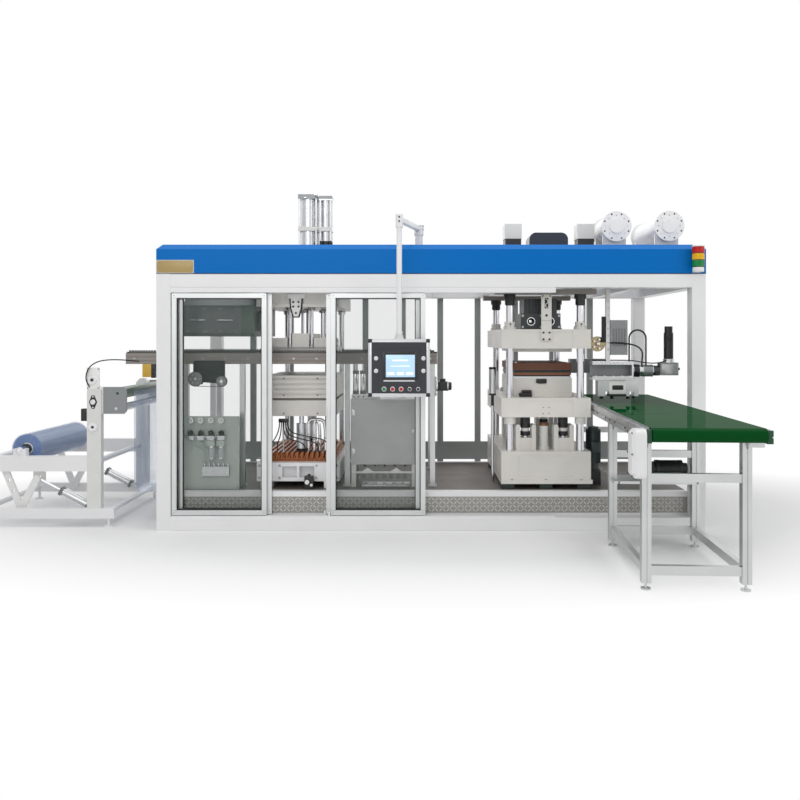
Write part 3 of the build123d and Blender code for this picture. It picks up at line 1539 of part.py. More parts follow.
with BuildPart() as lift_cylinders:
    bore_start, bore_end = lift_bore
    for y in cylinder_rows:
        turned(
            (
                (lift_cap_radius, lift_cap_length),
                (lift_cylinder_radius, bore_end - lift_body_start - 2 * lift_cap_length),
                (lift_cap_radius, lift_cap_length),
            ),
            along_cylinder(y, lift_body_start),
            tuple(cylinder_line),
        )
        link(y, 2 * eye_half, foot_eye_radius, cylinder_foot,
             (along_cylinder(y, lift_body_start)[0], along_cylinder(y, lift_body_start)[2]))
        rod(foot_pin_radius + slide_fit, (cylinder_foot[0], y - eye_half, cylinder_foot[1]),
            (cylinder_foot[0], y + eye_half, cylinder_foot[1]), mode=Mode.SUBTRACT)
        rod(lift_rod_radius + slide_fit, along_cylinder(y, bore_start), along_cylinder(y, bore_end),
            mode=Mode.SUBTRACT)

with BuildPart() as lift_rods:
    rod_length = cylinder_run.length
    rod_start = bore_end - 90
    for y in cylinder_rows:
        rod(lift_rod_radius, along_cylinder(y, rod_start), along_cylinder(y, rod_length - lift_eye_radius + press_edge))
        rod(lift_eye_radius, (lever_tip[0], y - rod_eye_half, lever_tip[1]),
            (lever_tip[0], y + rod_eye_half, lever_tip[1]))
        rod(tip_pin_radius + tip_pin_play, (lever_tip[0], y - rod_eye_half, lever_tip[1]),
            (lever_tip[0], y + rod_eye_half, lever_tip[1]), mode=Mode.SUBTRACT)

with BuildPart() as cylinder_pins:
    for y, inward in zip(cylinder_rows, (1, -1)):
        beam_face = stand_rows[0 if inward > 0 else 1] + inward * tube_half
        low, high = sorted((beam_face, y + inward * lever_bar_radius))
        rod(foot_pin_radius, (cylinder_foot[0], low, cylinder_foot[1]), (cylinder_foot[0], high, cylinder_foot[1]))

# Film web: down from the nip roller in a loop and up to the chains
web_near = rail_rows[0] + rail_width + web_margin
web_depth = rail_rows[1] - web_margin - web_near
web_down_x = nip_roller[0] + nip_roller[2] + web_thickness / 2
web_radius = (web_far_x - web_down_x) / 2
with BuildPart() as film_web:
    with BuildSketch(facing_front(0, web_near + web_depth, 0)):
        with BuildLine() as web_line:
            Line((web_down_x, nip_roller[1]), (web_down_x, web_bottom + web_radius))
            ThreePointArc((web_down_x, web_bottom + web_radius), (web_down_x + web_radius, web_bottom),
                          (web_far_x, web_bottom + web_radius))
            Line((web_far_x, web_bottom + web_radius), (web_far_x, film_level - web_guide_radius))
            RadiusArc((web_far_x, film_level - web_guide_radius), (web_far_x + web_guide_radius, film_level),
                      web_guide_radius)
            Line((web_far_x + web_guide_radius, film_level), (web_end, film_level))
        trace(web_line.line, line_width=web_thickness)
    extrude(amount=web_depth)

# Nodes, each of one piece or of like pieces on one body

save_together("corner_posts", corner_posts)
save_together("side_beams", base_side_beams, top_side_beams)
save_together("cross_beams", base_cross_beams, bed_cross_members, top_cross_beams)
save_together("cover_sides", cover_sides)
save_together("cover_ends", cover_ends)
save_together("roof_plates", roof_plates, arm_post)
save_together("bed_rails", bed_rails)
save_together("bed_plates", bed_plates, tread_skirts)
save_together("rear_guard", rear_stiles, rear_guard)
save_together("door_tracks", door_header, door_sill)
save_together("film_rails", film_rails)
save_together("rail_chains", rail_chains)
save_together("rail_posts", rail_posts)
save_together("rail_drive", rail_drive)
save_together("heater_hood", heater, heater_hangers)
save_together("forming_base", forming_base)
save_together("forming_columns", forming_columns, lower_cylinders)
save_together("cooling_plate", cooling_plate)
save_together("lower_table", lower_table, lower_rams)
save_together("upper_table", upper_table, table_rods)
save_together("crosshead", crosshead, crosshead_ties)
save_together("roof_cylinders", roof_cylinders)
save_together("air_panel", air_panel, air_regulators)
save_together("control_cabinet", cabinet)
save_together("cutting_base", cutting_base, cutting_pads, ram_housings, centre_post)
save_together("cutting_columns", cutting_columns, press_ties, balance_cylinder)
save_together("upper_platen", upper_platen, upper_tool, press_plate)
save_together("lower_platen", lower_platen, lift_rams)
save_together("die_set", die_block, die_layers_stack, cutting_board)
save_together("press_drive", press_gearbox, pump_motor)
save_together("stacker_frame", stacker_hangers, stacker_beam, stacker_head, gripper_blocks)
save_together("stacker_motors", stacker_motors, stacker_pulley)
save_together("roof_motors", press_motors, roof_drive)
save_together("roof_drums", roof_drums, drum_stands)
save_together("signal_lamp", signal_lamp)
save_together("panel_arm", panel_arm)
save_together("panel_case", panel_case, panel_swivel, panel_face, panel_buttons)
save_together("stand_columns", stand_columns, nip_brackets, stand_ends)
save_together("stand_beams", stand_beams, roll_bearings, lever_pins, cylinder_pins)
save_together("stand_cross_tubes", stand_cross_tubes)
save_together("nip_rollers", nip_rollers, web_guide)
save_together("film_roll", film_roll)
save_together("film_web", film_web)
save_together("loading_lever", loading_lever)
save_together("lift_cylinders", lift_cylinders)
save_together("lift_rods", lift_rods)
save_together("belt_legs", belt_legs, place=belt_place)
save_together("belt_stretchers", belt_stretchers, pump_shelf, place=belt_place)
save_together("belt_frame", belt_rails, belt_rollers, belt_bed, place=belt_place)
save_together("delivery_belt", delivery_belt, place=belt_place)
save_together("drive_guard", drive_guard, place=belt_place)
save_together("vacuum_pump", vacuum_pump, place=belt_place)
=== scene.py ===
"""Finishes, small parts, lights and camera for the blister forming machine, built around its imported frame."""

import itertools
import math

import bmesh
import bpy
from mathutils import Matrix, Vector


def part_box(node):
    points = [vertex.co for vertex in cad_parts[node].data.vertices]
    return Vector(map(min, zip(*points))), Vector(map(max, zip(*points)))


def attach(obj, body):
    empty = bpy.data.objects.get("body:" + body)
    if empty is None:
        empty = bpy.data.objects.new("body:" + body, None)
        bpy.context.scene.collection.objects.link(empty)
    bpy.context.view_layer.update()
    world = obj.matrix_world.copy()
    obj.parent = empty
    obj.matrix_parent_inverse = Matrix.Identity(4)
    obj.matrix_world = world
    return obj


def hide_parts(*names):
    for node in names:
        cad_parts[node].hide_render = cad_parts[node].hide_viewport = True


bl_info = {
    "name": "Blister Forming Machine Looks",
    "version": (1, 0, 0),
    "blender": (4, 5, 0),
    "location": "View3D > Sidebar > Blister Machine",
    "description": "Finishes and small parts of a blister forming machine",
    "category": "Object",
}

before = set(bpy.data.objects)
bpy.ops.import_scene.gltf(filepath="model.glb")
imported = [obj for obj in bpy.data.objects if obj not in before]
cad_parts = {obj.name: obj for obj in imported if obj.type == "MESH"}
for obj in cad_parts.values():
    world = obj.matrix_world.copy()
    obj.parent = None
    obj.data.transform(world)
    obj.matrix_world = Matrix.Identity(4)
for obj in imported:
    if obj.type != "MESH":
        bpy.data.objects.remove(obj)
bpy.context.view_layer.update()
ROOT = "machine"


def box(node):
    """Low and high corners of a CAD node."""
    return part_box(node)


def shade(red, green, blue):
    """A colour of the screen, 0 to 255, as the linear colour that shaders read."""
    def linear(value):
        value /= 255
        return value / 12.92 if value <= 0.04045 else ((value + 0.055) / 1.055) ** 2.4
    return (linear(red), linear(green), linear(blue), 1.0)


# Sizes and colours that a user would change


class MachineColours(bpy.types.PropertyGroup):
    """Colours of the machine's finishes"""

    frame_paint: bpy.props.FloatVectorProperty(
        name="Frame paint", description="Powder coat on posts and beams", subtype="COLOR", size=4,
        default=shade(239, 239, 240))
    cover_paint: bpy.props.FloatVectorProperty(
        name="Cover paint", description="Blue of the folded roof cover", subtype="COLOR", size=4,
        default=shade(0, 110, 192))
    press_paint: bpy.props.FloatVectorProperty(
        name="Press paint", description="Warm grey of platens and tables", subtype="COLOR", size=4,
        default=shade(229, 226, 220))
    belt_colour: bpy.props.FloatVectorProperty(
        name="Belt", description="Green of the delivery belt", subtype="COLOR", size=4,
        default=shade(0, 74, 28))
    glass_tint: bpy.props.FloatVectorProperty(
        name="Glass tint", description="Tint of the door glass", subtype="COLOR", size=4,
        default=shade(92, 112, 104))
    glass_strength: bpy.props.FloatProperty(
        name="Glass strength", description="How much the door glass dims what stands behind it",
        min=0.0, max=1.0, default=0.06)


class MachineSizes(bpy.types.PropertyGroup):
    """Sizes of the small parts"""

    bolt_head: bpy.props.FloatProperty(
        name="Bolt head", description="Radius of the large bolt heads on the press", subtype="DISTANCE",
        unit="LENGTH", default=0.009)
    gasket: bpy.props.FloatProperty(
        name="Gasket", description="Width of the black seal round the door glass", subtype="DISTANCE",
        unit="LENGTH", default=0.008)
    lug_pitch: bpy.props.FloatProperty(
        name="Tread pitch", description="Distance between lugs of the tread plate", subtype="DISTANCE",
        unit="LENGTH", default=0.0315)
    lug_length: bpy.props.FloatProperty(
        name="Tread lug", description="Length of one lug of the tread plate", subtype="DISTANCE",
        unit="LENGTH", default=0.039)
    roll_layers: bpy.props.IntProperty(
        name="Roll layers", description="Rings that show on the end of the film roll", default=9, min=2)


def colours():
    """The colours set in the panel."""
    return bpy.context.scene.machine_colours


def sizes():
    """The sizes set in the panel."""
    return bpy.context.scene.machine_sizes


# Shader node groups

DUST_COLOUR = (0.55, 0.52, 0.47, 1)


def open_group(name, inputs, outputs):
    """A new shader node group with the sockets named."""
    tree = bpy.data.node_groups.new(name, "ShaderNodeTree")
    for label, kind, value in inputs:
        socket = tree.interface.new_socket(name=label, in_out="INPUT", socket_type=kind)
        socket.default_value = value
    for label, kind in outputs:
        tree.interface.new_socket(name=label, in_out="OUTPUT", socket_type=kind)
    return tree, tree.nodes.new("NodeGroupInput"), tree.nodes.new("NodeGroupOutput")


def feed(tree, value, socket):
    """Link a socket, or set a plain value."""
    if isinstance(value, (tuple, float, int)):
        socket.default_value = value
    else:
        tree.links.new(value, socket)


def noise(tree, vector, scale, detail=4.0, roughness=0.55):
    """Noise between zero and one over the coordinates given."""
    node = tree.nodes.new("ShaderNodeTexNoise")
    node.inputs["Detail"].default_value = detail
    node.inputs["Roughness"].default_value = roughness
    feed(tree, vector, node.inputs["Vector"])
    feed(tree, scale, node.inputs["Scale"])
    return node.outputs["Fac"]


def arith(tree, operation, first, second, clamp=False):
    """One step of arithmetic between two values or sockets."""
    node = tree.nodes.new("ShaderNodeMath")
    node.operation = operation
    node.use_clamp = clamp
    feed(tree, first, node.inputs[0])
    feed(tree, second, node.inputs[1])
    return node.outputs["Value"]


def vector_step(tree, operation, first, second):
    """One step of arithmetic between two vectors."""
    node = tree.nodes.new("ShaderNodeVectorMath")
    node.operation = operation
    feed(tree, first, node.inputs[0])
    feed(tree, second, node.inputs[1])
    return node.outputs["Vector"]


def blend(tree, mask, first, second, sockets="RGBA", mode="MIX"):
    """Two colours, or two plain values, mixed by a mask."""
    node = tree.nodes.new("ShaderNodeMix")
    node.data_type = "FLOAT" if sockets == "VALUE" else "RGBA"
    node.blend_type = mode
    for name, value in (("Factor", mask), ("A", first), ("B", second)):
        kind = "VALUE" if name == "Factor" else sockets
        feed(tree, value, [s for s in node.inputs if s.name == name and s.type == kind][0])
    return [s for s in node.outputs if s.type == sockets][0]


def object_place(tree):
    """Coordinates of the piece itself."""
    return tree.nodes.new("ShaderNodeTexCoord").outputs["Object"]


def bump_normal(tree, height, strength, distance):
    """A normal that follows a height."""
    bump = tree.nodes.new("ShaderNodeBump")
    bump.inputs["Strength"].default_value = strength
    feed(tree, distance, bump.inputs["Distance"])
    feed(tree, height, bump.inputs["Height"])
    return bump.outputs["Normal"]


def split_vector(tree, vector):
    """The three parts of a vector, by name."""
    split = tree.nodes.new("ShaderNodeSeparateXYZ")
    tree.links.new(vector, split.inputs["Vector"])
    return split.outputs


def seen_directly(tree):
    """One for rays of the camera, off a mirror or through glass."""
    rays = tree.nodes.new("ShaderNodeLightPath").outputs
    bounced = arith(tree, "MAXIMUM", rays["Is Glossy Ray"], rays["Is Transmission Ray"])
    return arith(tree, "MAXIMUM", rays["Is Camera Ray"], bounced)


def mottle_group():
    """Uneven tone, with dust on faces that look up."""
    tree, inlet, outlet = open_group(
        "Mottled Tone",
        (("Colour", "NodeSocketColor", (0.8, 0.8, 0.8, 1)),
         ("Shadow Colour", "NodeSocketColor", (0.5, 0.5, 0.5, 1)),
         ("Scale", "NodeSocketFloat", 3.0),
         ("Amount", "NodeSocketFloat", 0.2),
         ("Dust", "NodeSocketFloat", 0.1)),
        (("Colour", "NodeSocketColor"), ("Mask", "NodeSocketFloat")))
    place = object_place(tree)
    broad = noise(tree, place, inlet.outputs["Scale"], 6.0, 0.6)
    mask = arith(tree, "MULTIPLY", arith(tree, "SUBTRACT", broad, 0.35, clamp=True), 2.4, clamp=True)
    strength = arith(tree, "MULTIPLY", mask, inlet.outputs["Amount"], clamp=True)
    toned = blend(tree, strength, inlet.outputs["Colour"], inlet.outputs["Shadow Colour"])
    slope = split_vector(tree, tree.nodes.new("ShaderNodeNewGeometry").outputs["Normal"])["Z"]
    upward = arith(tree, "MULTIPLY", arith(tree, "SUBTRACT", slope, 0.6, clamp=True), 2.0, clamp=True)
    speck = arith(tree, "MULTIPLY", upward, noise(tree, place, 40.0, 5.0, 0.7))
    dust = arith(tree, "MULTIPLY", speck, inlet.outputs["Dust"], clamp=True)
    tree.links.new(blend(tree, dust, toned, DUST_COLOUR), outlet.inputs["Colour"])
    tree.links.new(mask, outlet.inputs["Mask"])
    return tree


def grain_group():
    """Fine bumps of paint, rubber or cast metal, as a normal."""
    tree, inlet, outlet = open_group(
        "Fine Grain",
        (("Scale", "NodeSocketFloat", 300.0), ("Depth", "NodeSocketFloat", 0.0004)),
        (("Normal", "NodeSocketVector"),))
    height = noise(tree, object_place(tree), inlet.outputs["Scale"], 3.0, 0.5)
    tree.links.new(bump_normal(tree, height, 1.0, inlet.outputs["Depth"]), outlet.inputs["Normal"])
    return tree


def brushed_group():
    """Fine lines along one direction, as a mask for roughness and a normal."""
    tree, inlet, outlet = open_group(
        "Brushed Lines",
        (("Stretch", "NodeSocketVector", (4.0, 400.0, 400.0)), ("Depth", "NodeSocketFloat", 0.0001)),
        (("Mask", "NodeSocketFloat"), ("Normal", "NodeSocketVector")))
    stretched = vector_step(tree, "MULTIPLY", object_place(tree), inlet.outputs["Stretch"])
    lines = noise(tree, stretched, 1.0, 3.0, 0.6)
    tree.links.new(lines, outlet.inputs["Mask"])
    tree.links.new(bump_normal(tree, lines, 0.6, inlet.outputs["Depth"]), outlet.inputs["Normal"])
    return tree


def zone_group():
    """A mask that is one inside a box of Object coordinates."""
    tree, inlet, outlet = open_group(
        "Box Zone", (("Low", "NodeSocketVector", (0, 0, 0)), ("High", "NodeSocketVector", (1, 1, 1))),
        (("Mask", "NodeSocketFloat"),))
    place = object_place(tree)
    above = vector_step(tree, "SUBTRACT", place, inlet.outputs["Low"])
    below = vector_step(tree, "SUBTRACT", inlet.outputs["High"], place)
    margin = split_vector(tree, vector_step(tree, "MINIMUM", above, below))
    least = arith(tree, "MINIMUM", arith(tree, "MINIMUM", margin["X"], margin["Y"]), margin["Z"])
    tree.links.new(arith(tree, "GREATER_THAN", least, 0.0), outlet.inputs["Mask"])
    return tree


# Groups made so far, by name
GROUPS = {}


GROUP_MAKERS = {
    "Mottled Tone": mottle_group,
    "Fine Grain": grain_group,
    "Brushed Lines": brushed_group,
    "Box Zone": zone_group,
}


def group(tree, name, **values):
    """A node of one of the groups, made at its first use, with its inputs set."""
    if name not in GROUPS:
        GROUPS[name] = GROUP_MAKERS[name]()
    node = tree.nodes.new("ShaderNodeGroup")
    node.node_tree = GROUPS[name]
    for label, value in values.items():
        node.inputs[label.replace("_", " ")].default_value = value
    return node


# Materials

# Materials made so far, by name
MATERIALS = {}


def start_material(name):
    """A new material by name: its node tree and the inputs of its shader."""
    material = bpy.data.materials.new(name)
    material.use_nodes = True
    MATERIALS[name] = material
    return material.node_tree, material.node_tree.nodes["Principled BSDF"].inputs


def spread(tree, mask, low, high, socket):
    """Feed a socket with a mask brought between two values."""
    span = tree.nodes.new("ShaderNodeMapRange")
    span.inputs["To Min"].default_value = low
    span.inputs["To Max"].default_value = high
    tree.links.new(mask, span.inputs["Value"])
    tree.links.new(span.outputs["Result"], socket)


def darker(colour, share):
    """A share of a colour."""
    return tuple(c * share for c in colour[:3]) + (1.0,)


def tone_base(tree, inputs, colour, share, scale, amount, dust=0.0):
    """Feed the base colour with an uneven tone of one colour, and give back the tone."""
    tone = group(tree, "Mottled Tone", Colour=colour, Shadow_Colour=darker(colour, share), Scale=scale,
                 Amount=amount, Dust=dust).outputs
    tree.links.new(tone["Colour"], inputs["Base Color"])
    return tone


def painted(name, colour, low=0.3, high=0.45, amount=0.25, scale=2.5, dust=0.08, grain=260.0, depth=0.00012,
            metallic=0.0, coat=0.0, shine=0.5):
    """A painted, moulded or cast surface with uneven tone, dust and fine bumps."""
    tree, inputs = start_material(name)
    tone = tone_base(tree, inputs, colour, 0.82, scale, amount, dust)
    bumps = group(tree, "Fine Grain", Scale=grain, Depth=depth)
    tree.links.new(bumps.outputs["Normal"], inputs["Normal"])
    spread(tree, tone["Mask"], low, high, inputs["Roughness"])
    inputs["Metallic"].default_value = metallic
    inputs["Coat Weight"].default_value = coat
    inputs["Specular IOR Level"].default_value = shine


def metal(name, colour, low, high, stretch):
    """A bare metal with drawn or brushed lines."""
    tree, inputs = start_material(name)
    tone_base(tree, inputs, colour, 0.7, 4.0, 0.3, 0.04)
    lines = group(tree, "Brushed Lines", Stretch=stretch, Depth=0.00006)
    tree.links.new(lines.outputs["Normal"], inputs["Normal"])
    spread(tree, lines.outputs["Mask"], low, high, inputs["Roughness"])
    inputs["Metallic"].default_value = 1.0


def clear(name, colour, alpha, roughness=0.04):
    """Tinted glass or film that lets the parts behind it show."""
    tree, inputs = start_material(name)
    tone = tone_base(tree, inputs, colour, 0.9, 1.2, 0.15)
    spread(tree, tone["Mask"], alpha * 0.92, alpha * 1.08, inputs["Alpha"])
    inputs["Roughness"].default_value = roughness


def glowing(name, colour, strength):
    """A lit screen or lamp."""
    tree, inputs = start_material(name)
    tone = tone_base(tree, inputs, colour, 0.85, 8.0, 0.4)
    tree.links.new(tone["Colour"], inputs["Emission Color"])
    inputs["Emission Strength"].default_value = strength
    inputs["Roughness"].default_value = 0.15


def wooden(name, light, dark, stretch):
    """Board or wound film with grain along one direction."""
    tree, inputs = start_material(name)
    rings = noise(tree, vector_step(tree, "MULTIPLY", object_place(tree), stretch), 1.0, 6.0, 0.65)
    ramp = tree.nodes.new("ShaderNodeValToRGB")
    for stop, position, colour in zip(ramp.color_ramp.elements, (0.35, 0.68), (dark, light)):
        stop.position = position
        stop.color = colour
    tree.links.new(rings, ramp.inputs["Fac"])
    tree.links.new(ramp.outputs["Color"], inputs["Base Color"])
    tree.links.new(bump_normal(tree, rings, 0.3, 0.001), inputs["Normal"])
    spread(tree, rings, 0.35, 0.6, inputs["Roughness"])


def make_materials():
    """Every finish of the machine, by name."""
    look = colours()
    painted("frame paint", tuple(look.frame_paint), 0.28, 0.42)
    painted("cover paint", tuple(look.cover_paint), 0.3, 0.42, amount=0.12, scale=1.2, shine=0.12)
    painted("press paint", tuple(look.press_paint), 0.3, 0.45, amount=0.35, scale=3.0)
    painted("white paint", shade(240, 240, 238), 0.25, 0.4)
    painted("taupe paint", shade(152, 145, 139), 0.35, 0.5, amount=0.4)
    painted("grey paint", shade(120, 122, 122), 0.35, 0.5, amount=0.4)
    painted("heater grey", shade(112, 116, 116), 0.3, 0.45, amount=0.5, scale=5.0)
    painted("green grey", shade(160, 165, 163), 0.3, 0.5, amount=0.5)
    painted("motor green", shade(44, 58, 58), 0.3, 0.5, amount=0.5)
    painted("black paint", shade(26, 27, 28), 0.3, 0.5, amount=0.5)
    painted("black rubber", shade(18, 18, 19), 0.45, 0.65, grain=180.0, depth=0.0003)
    painted("dark screen", shade(16, 20, 34), 0.08, 0.16, amount=0.3, coat=0.5)
    painted("belt green", tuple(look.belt_colour), 0.1, 0.2, amount=0.35, scale=2.0, dust=0.0, coat=0.13,
            shine=0.0)
    painted("roller green", shade(10, 66, 44), 0.25, 0.4)
    painted("pump black", shade(28, 28, 30), 0.25, 0.5, amount=0.5, grain=120.0, depth=0.0005)
    painted("red plastic", shade(190, 24, 22), 0.2, 0.3)
    painted("green plastic", shade(20, 130, 60), 0.2, 0.3)
    painted("yellow plastic", shade(214, 170, 60), 0.3, 0.45)
    painted("plate tan", shade(176, 152, 96), 0.3, 0.4, amount=0.5, scale=14.0)
    painted("dial white", shade(236, 238, 236), 0.2, 0.3)
    metal("door aluminium", shade(214, 216, 216), 0.3, 0.45, (300.0, 300.0, 8.0))
    metal("profile aluminium", shade(206, 208, 208), 0.28, 0.42, (240.0, 12.0, 240.0))
    metal("polished steel", shade(222, 222, 224), 0.08, 0.2, (200.0, 200.0, 30.0))
    metal("brushed steel", shade(176, 178, 178), 0.25, 0.42, (8.0, 200.0, 260.0))
    # The tread plate lugs are painted lighter than the plate between them: a painted highlight for the light
    # the lugs catch.
    painted("tread lug painted highlight", shade(226, 225, 221), 0.25, 0.4, amount=0.3, metallic=0.25)
    clear("door glass", tuple(look.glass_tint), look.glass_strength)
    clear("film", shade(196, 214, 240), 0.3, 0.06)
    clear("clear hose", shade(222, 232, 236), 0.6, 0.1)
    wooden("film roll", shade(96, 124, 180), shade(40, 68, 124), (60.0, 1.5, 60.0))
    wooden("film layers", shade(150, 172, 210), shade(96, 122, 170), (90.0, 4.0, 90.0))
    glowing("screen light", shade(176, 208, 236), 0.45)
    glowing("screen fields", shade(232, 240, 250), 0.5)
    glowing("lens red", shade(190, 20, 24), 0.12)
    glowing("lens yellow", shade(226, 178, 20), 0.12)
    glowing("lens green", shade(20, 130, 70), 0.12)
    wooden("cooling board", shade(206, 142, 88), shade(148, 86, 44), (14.0, 40.0, 60.0))


# Further out than any part of the machine
FAR = 9.0


def within(x=(-FAR, FAR), y=(-FAR, FAR), z=(-FAR, FAR)):
    """Low and high corners of a region, open where nothing is given."""
    return (x[0], y[0], z[0]), (x[1], y[1], z[1])


# Surfaces inside zoned nodes: colour, metal share, roughness
BEIGE = (shade(229, 226, 220), 0.0, 0.38)
WHITE = (shade(228, 228, 225), 0.0, 0.34)
SILVER = (shade(206, 208, 210), 1.0, 0.3)
CHROME = (shade(222, 222, 226), 1.0, 0.12)
BLACK = (shade(22, 23, 25), 0.0, 0.4)
DARK = (shade(62, 66, 69), 0.0, 0.38)
GREY = (shade(140, 143, 144), 0.3, 0.38)
TAUPE = (shade(150, 143, 136), 0.0, 0.42)
BRONZE = (shade(166, 150, 120), 1.0, 0.26)
COPPER = (shade(128, 84, 60), 0.4, 0.4)
BOARD = (shade(104, 62, 42), 0.0, 0.55)
MOTOR = (shade(44, 58, 58), 0.0, 0.36)
PADS = (shade(42, 52, 46), 0.0, 0.6)
NAVY = (shade(34, 44, 62), 0.1, 0.34)
ROLLER = (shade(8, 70, 40), 0.0, 0.3)
PANEL = (shade(202, 210, 204), 0.0, 0.36)
# The tread plate between the lugs is painted darker than the lugs: painted shade.
TREAD_SHADED = (shade(158, 156, 151), 0.25, 0.4)
# Dark brown of the bed plate: the tone of the plate in shade, painted into its colour.
BED_IN_SHADE = (shade(92, 84, 78), 0.0, 0.55)
BOWL = (shade(196, 204, 204), 0.0, 0.16)
HOOD = (shade(112, 117, 117), 0.0, 0.4)
HOOD_PLATE = (shade(92, 108, 100), 0.0, 0.36)
PUMP = (shade(30, 30, 32), 0.1, 0.42)
CABINET = (shade(186, 187, 187), 0.6, 0.38)
COOLING = (shade(182, 108, 62), 0.25, 0.42)

# How much darker the shaded tone of a zoned finish is
ZONE_SHADOW = (0.72, 0.72, 0.72, 1)


def zoned(name, base, zones):
    """A finish that changes from one box of the node to the next."""
    tree, inputs = start_material(name)
    colour, metallic, roughness = base
    for (low, high), (zone_colour, zone_metal, zone_rough) in zones:
        mask = group(tree, "Box Zone", Low=low, High=high).outputs["Mask"]
        colour = blend(tree, mask, colour, zone_colour)
        metallic = blend(tree, mask, metallic, zone_metal, "VALUE")
        roughness = blend(tree, mask, roughness, zone_rough, "VALUE")
    tone = group(tree, "Mottled Tone", Scale=4.0, Amount=0.35, Dust=0.06)
    feed(tree, colour, tone.inputs["Colour"])
    feed(tree, blend(tree, 1.0, colour, ZONE_SHADOW, mode="MULTIPLY"), tone.inputs["Shadow Colour"])
    tree.links.new(tone.outputs["Colour"], inputs["Base Color"])
    uneven = arith(tree, "ADD", arith(tree, "MULTIPLY", tone.outputs["Mask"], 0.12), -0.04)
    tree.links.new(arith(tree, "ADD", roughness, uneven, clamp=True), inputs["Roughness"])
    feed(tree, metallic, inputs["Metallic"])
    bumps = group(tree, "Fine Grain", Scale=240.0, Depth=0.0001)
    tree.links.new(bumps.outputs["Normal"], inputs["Normal"])
    return MATERIALS[name]


def near(x, y, reach):
    """Region round a vertical line."""
    return {"x": (x - reach, x + reach), "y": (y - reach, y + reach)}


PRESS_COLUMNS = [(x, y) for x in (0.69, 1.304) for y in (-0.66, 0.47)]
PRESS_RAMS = [(x, y) for x in (0.832, 1.162) for y in (-0.605, 0.415)]
GUIDE_RODS = [(x, y) for x in (-1.247, -1.053) for y in (-0.49, 0.3)]
FORMING_COLUMNS = [(x, y) for x in (-1.425, -0.875) for y in (-0.625, 0.455)]

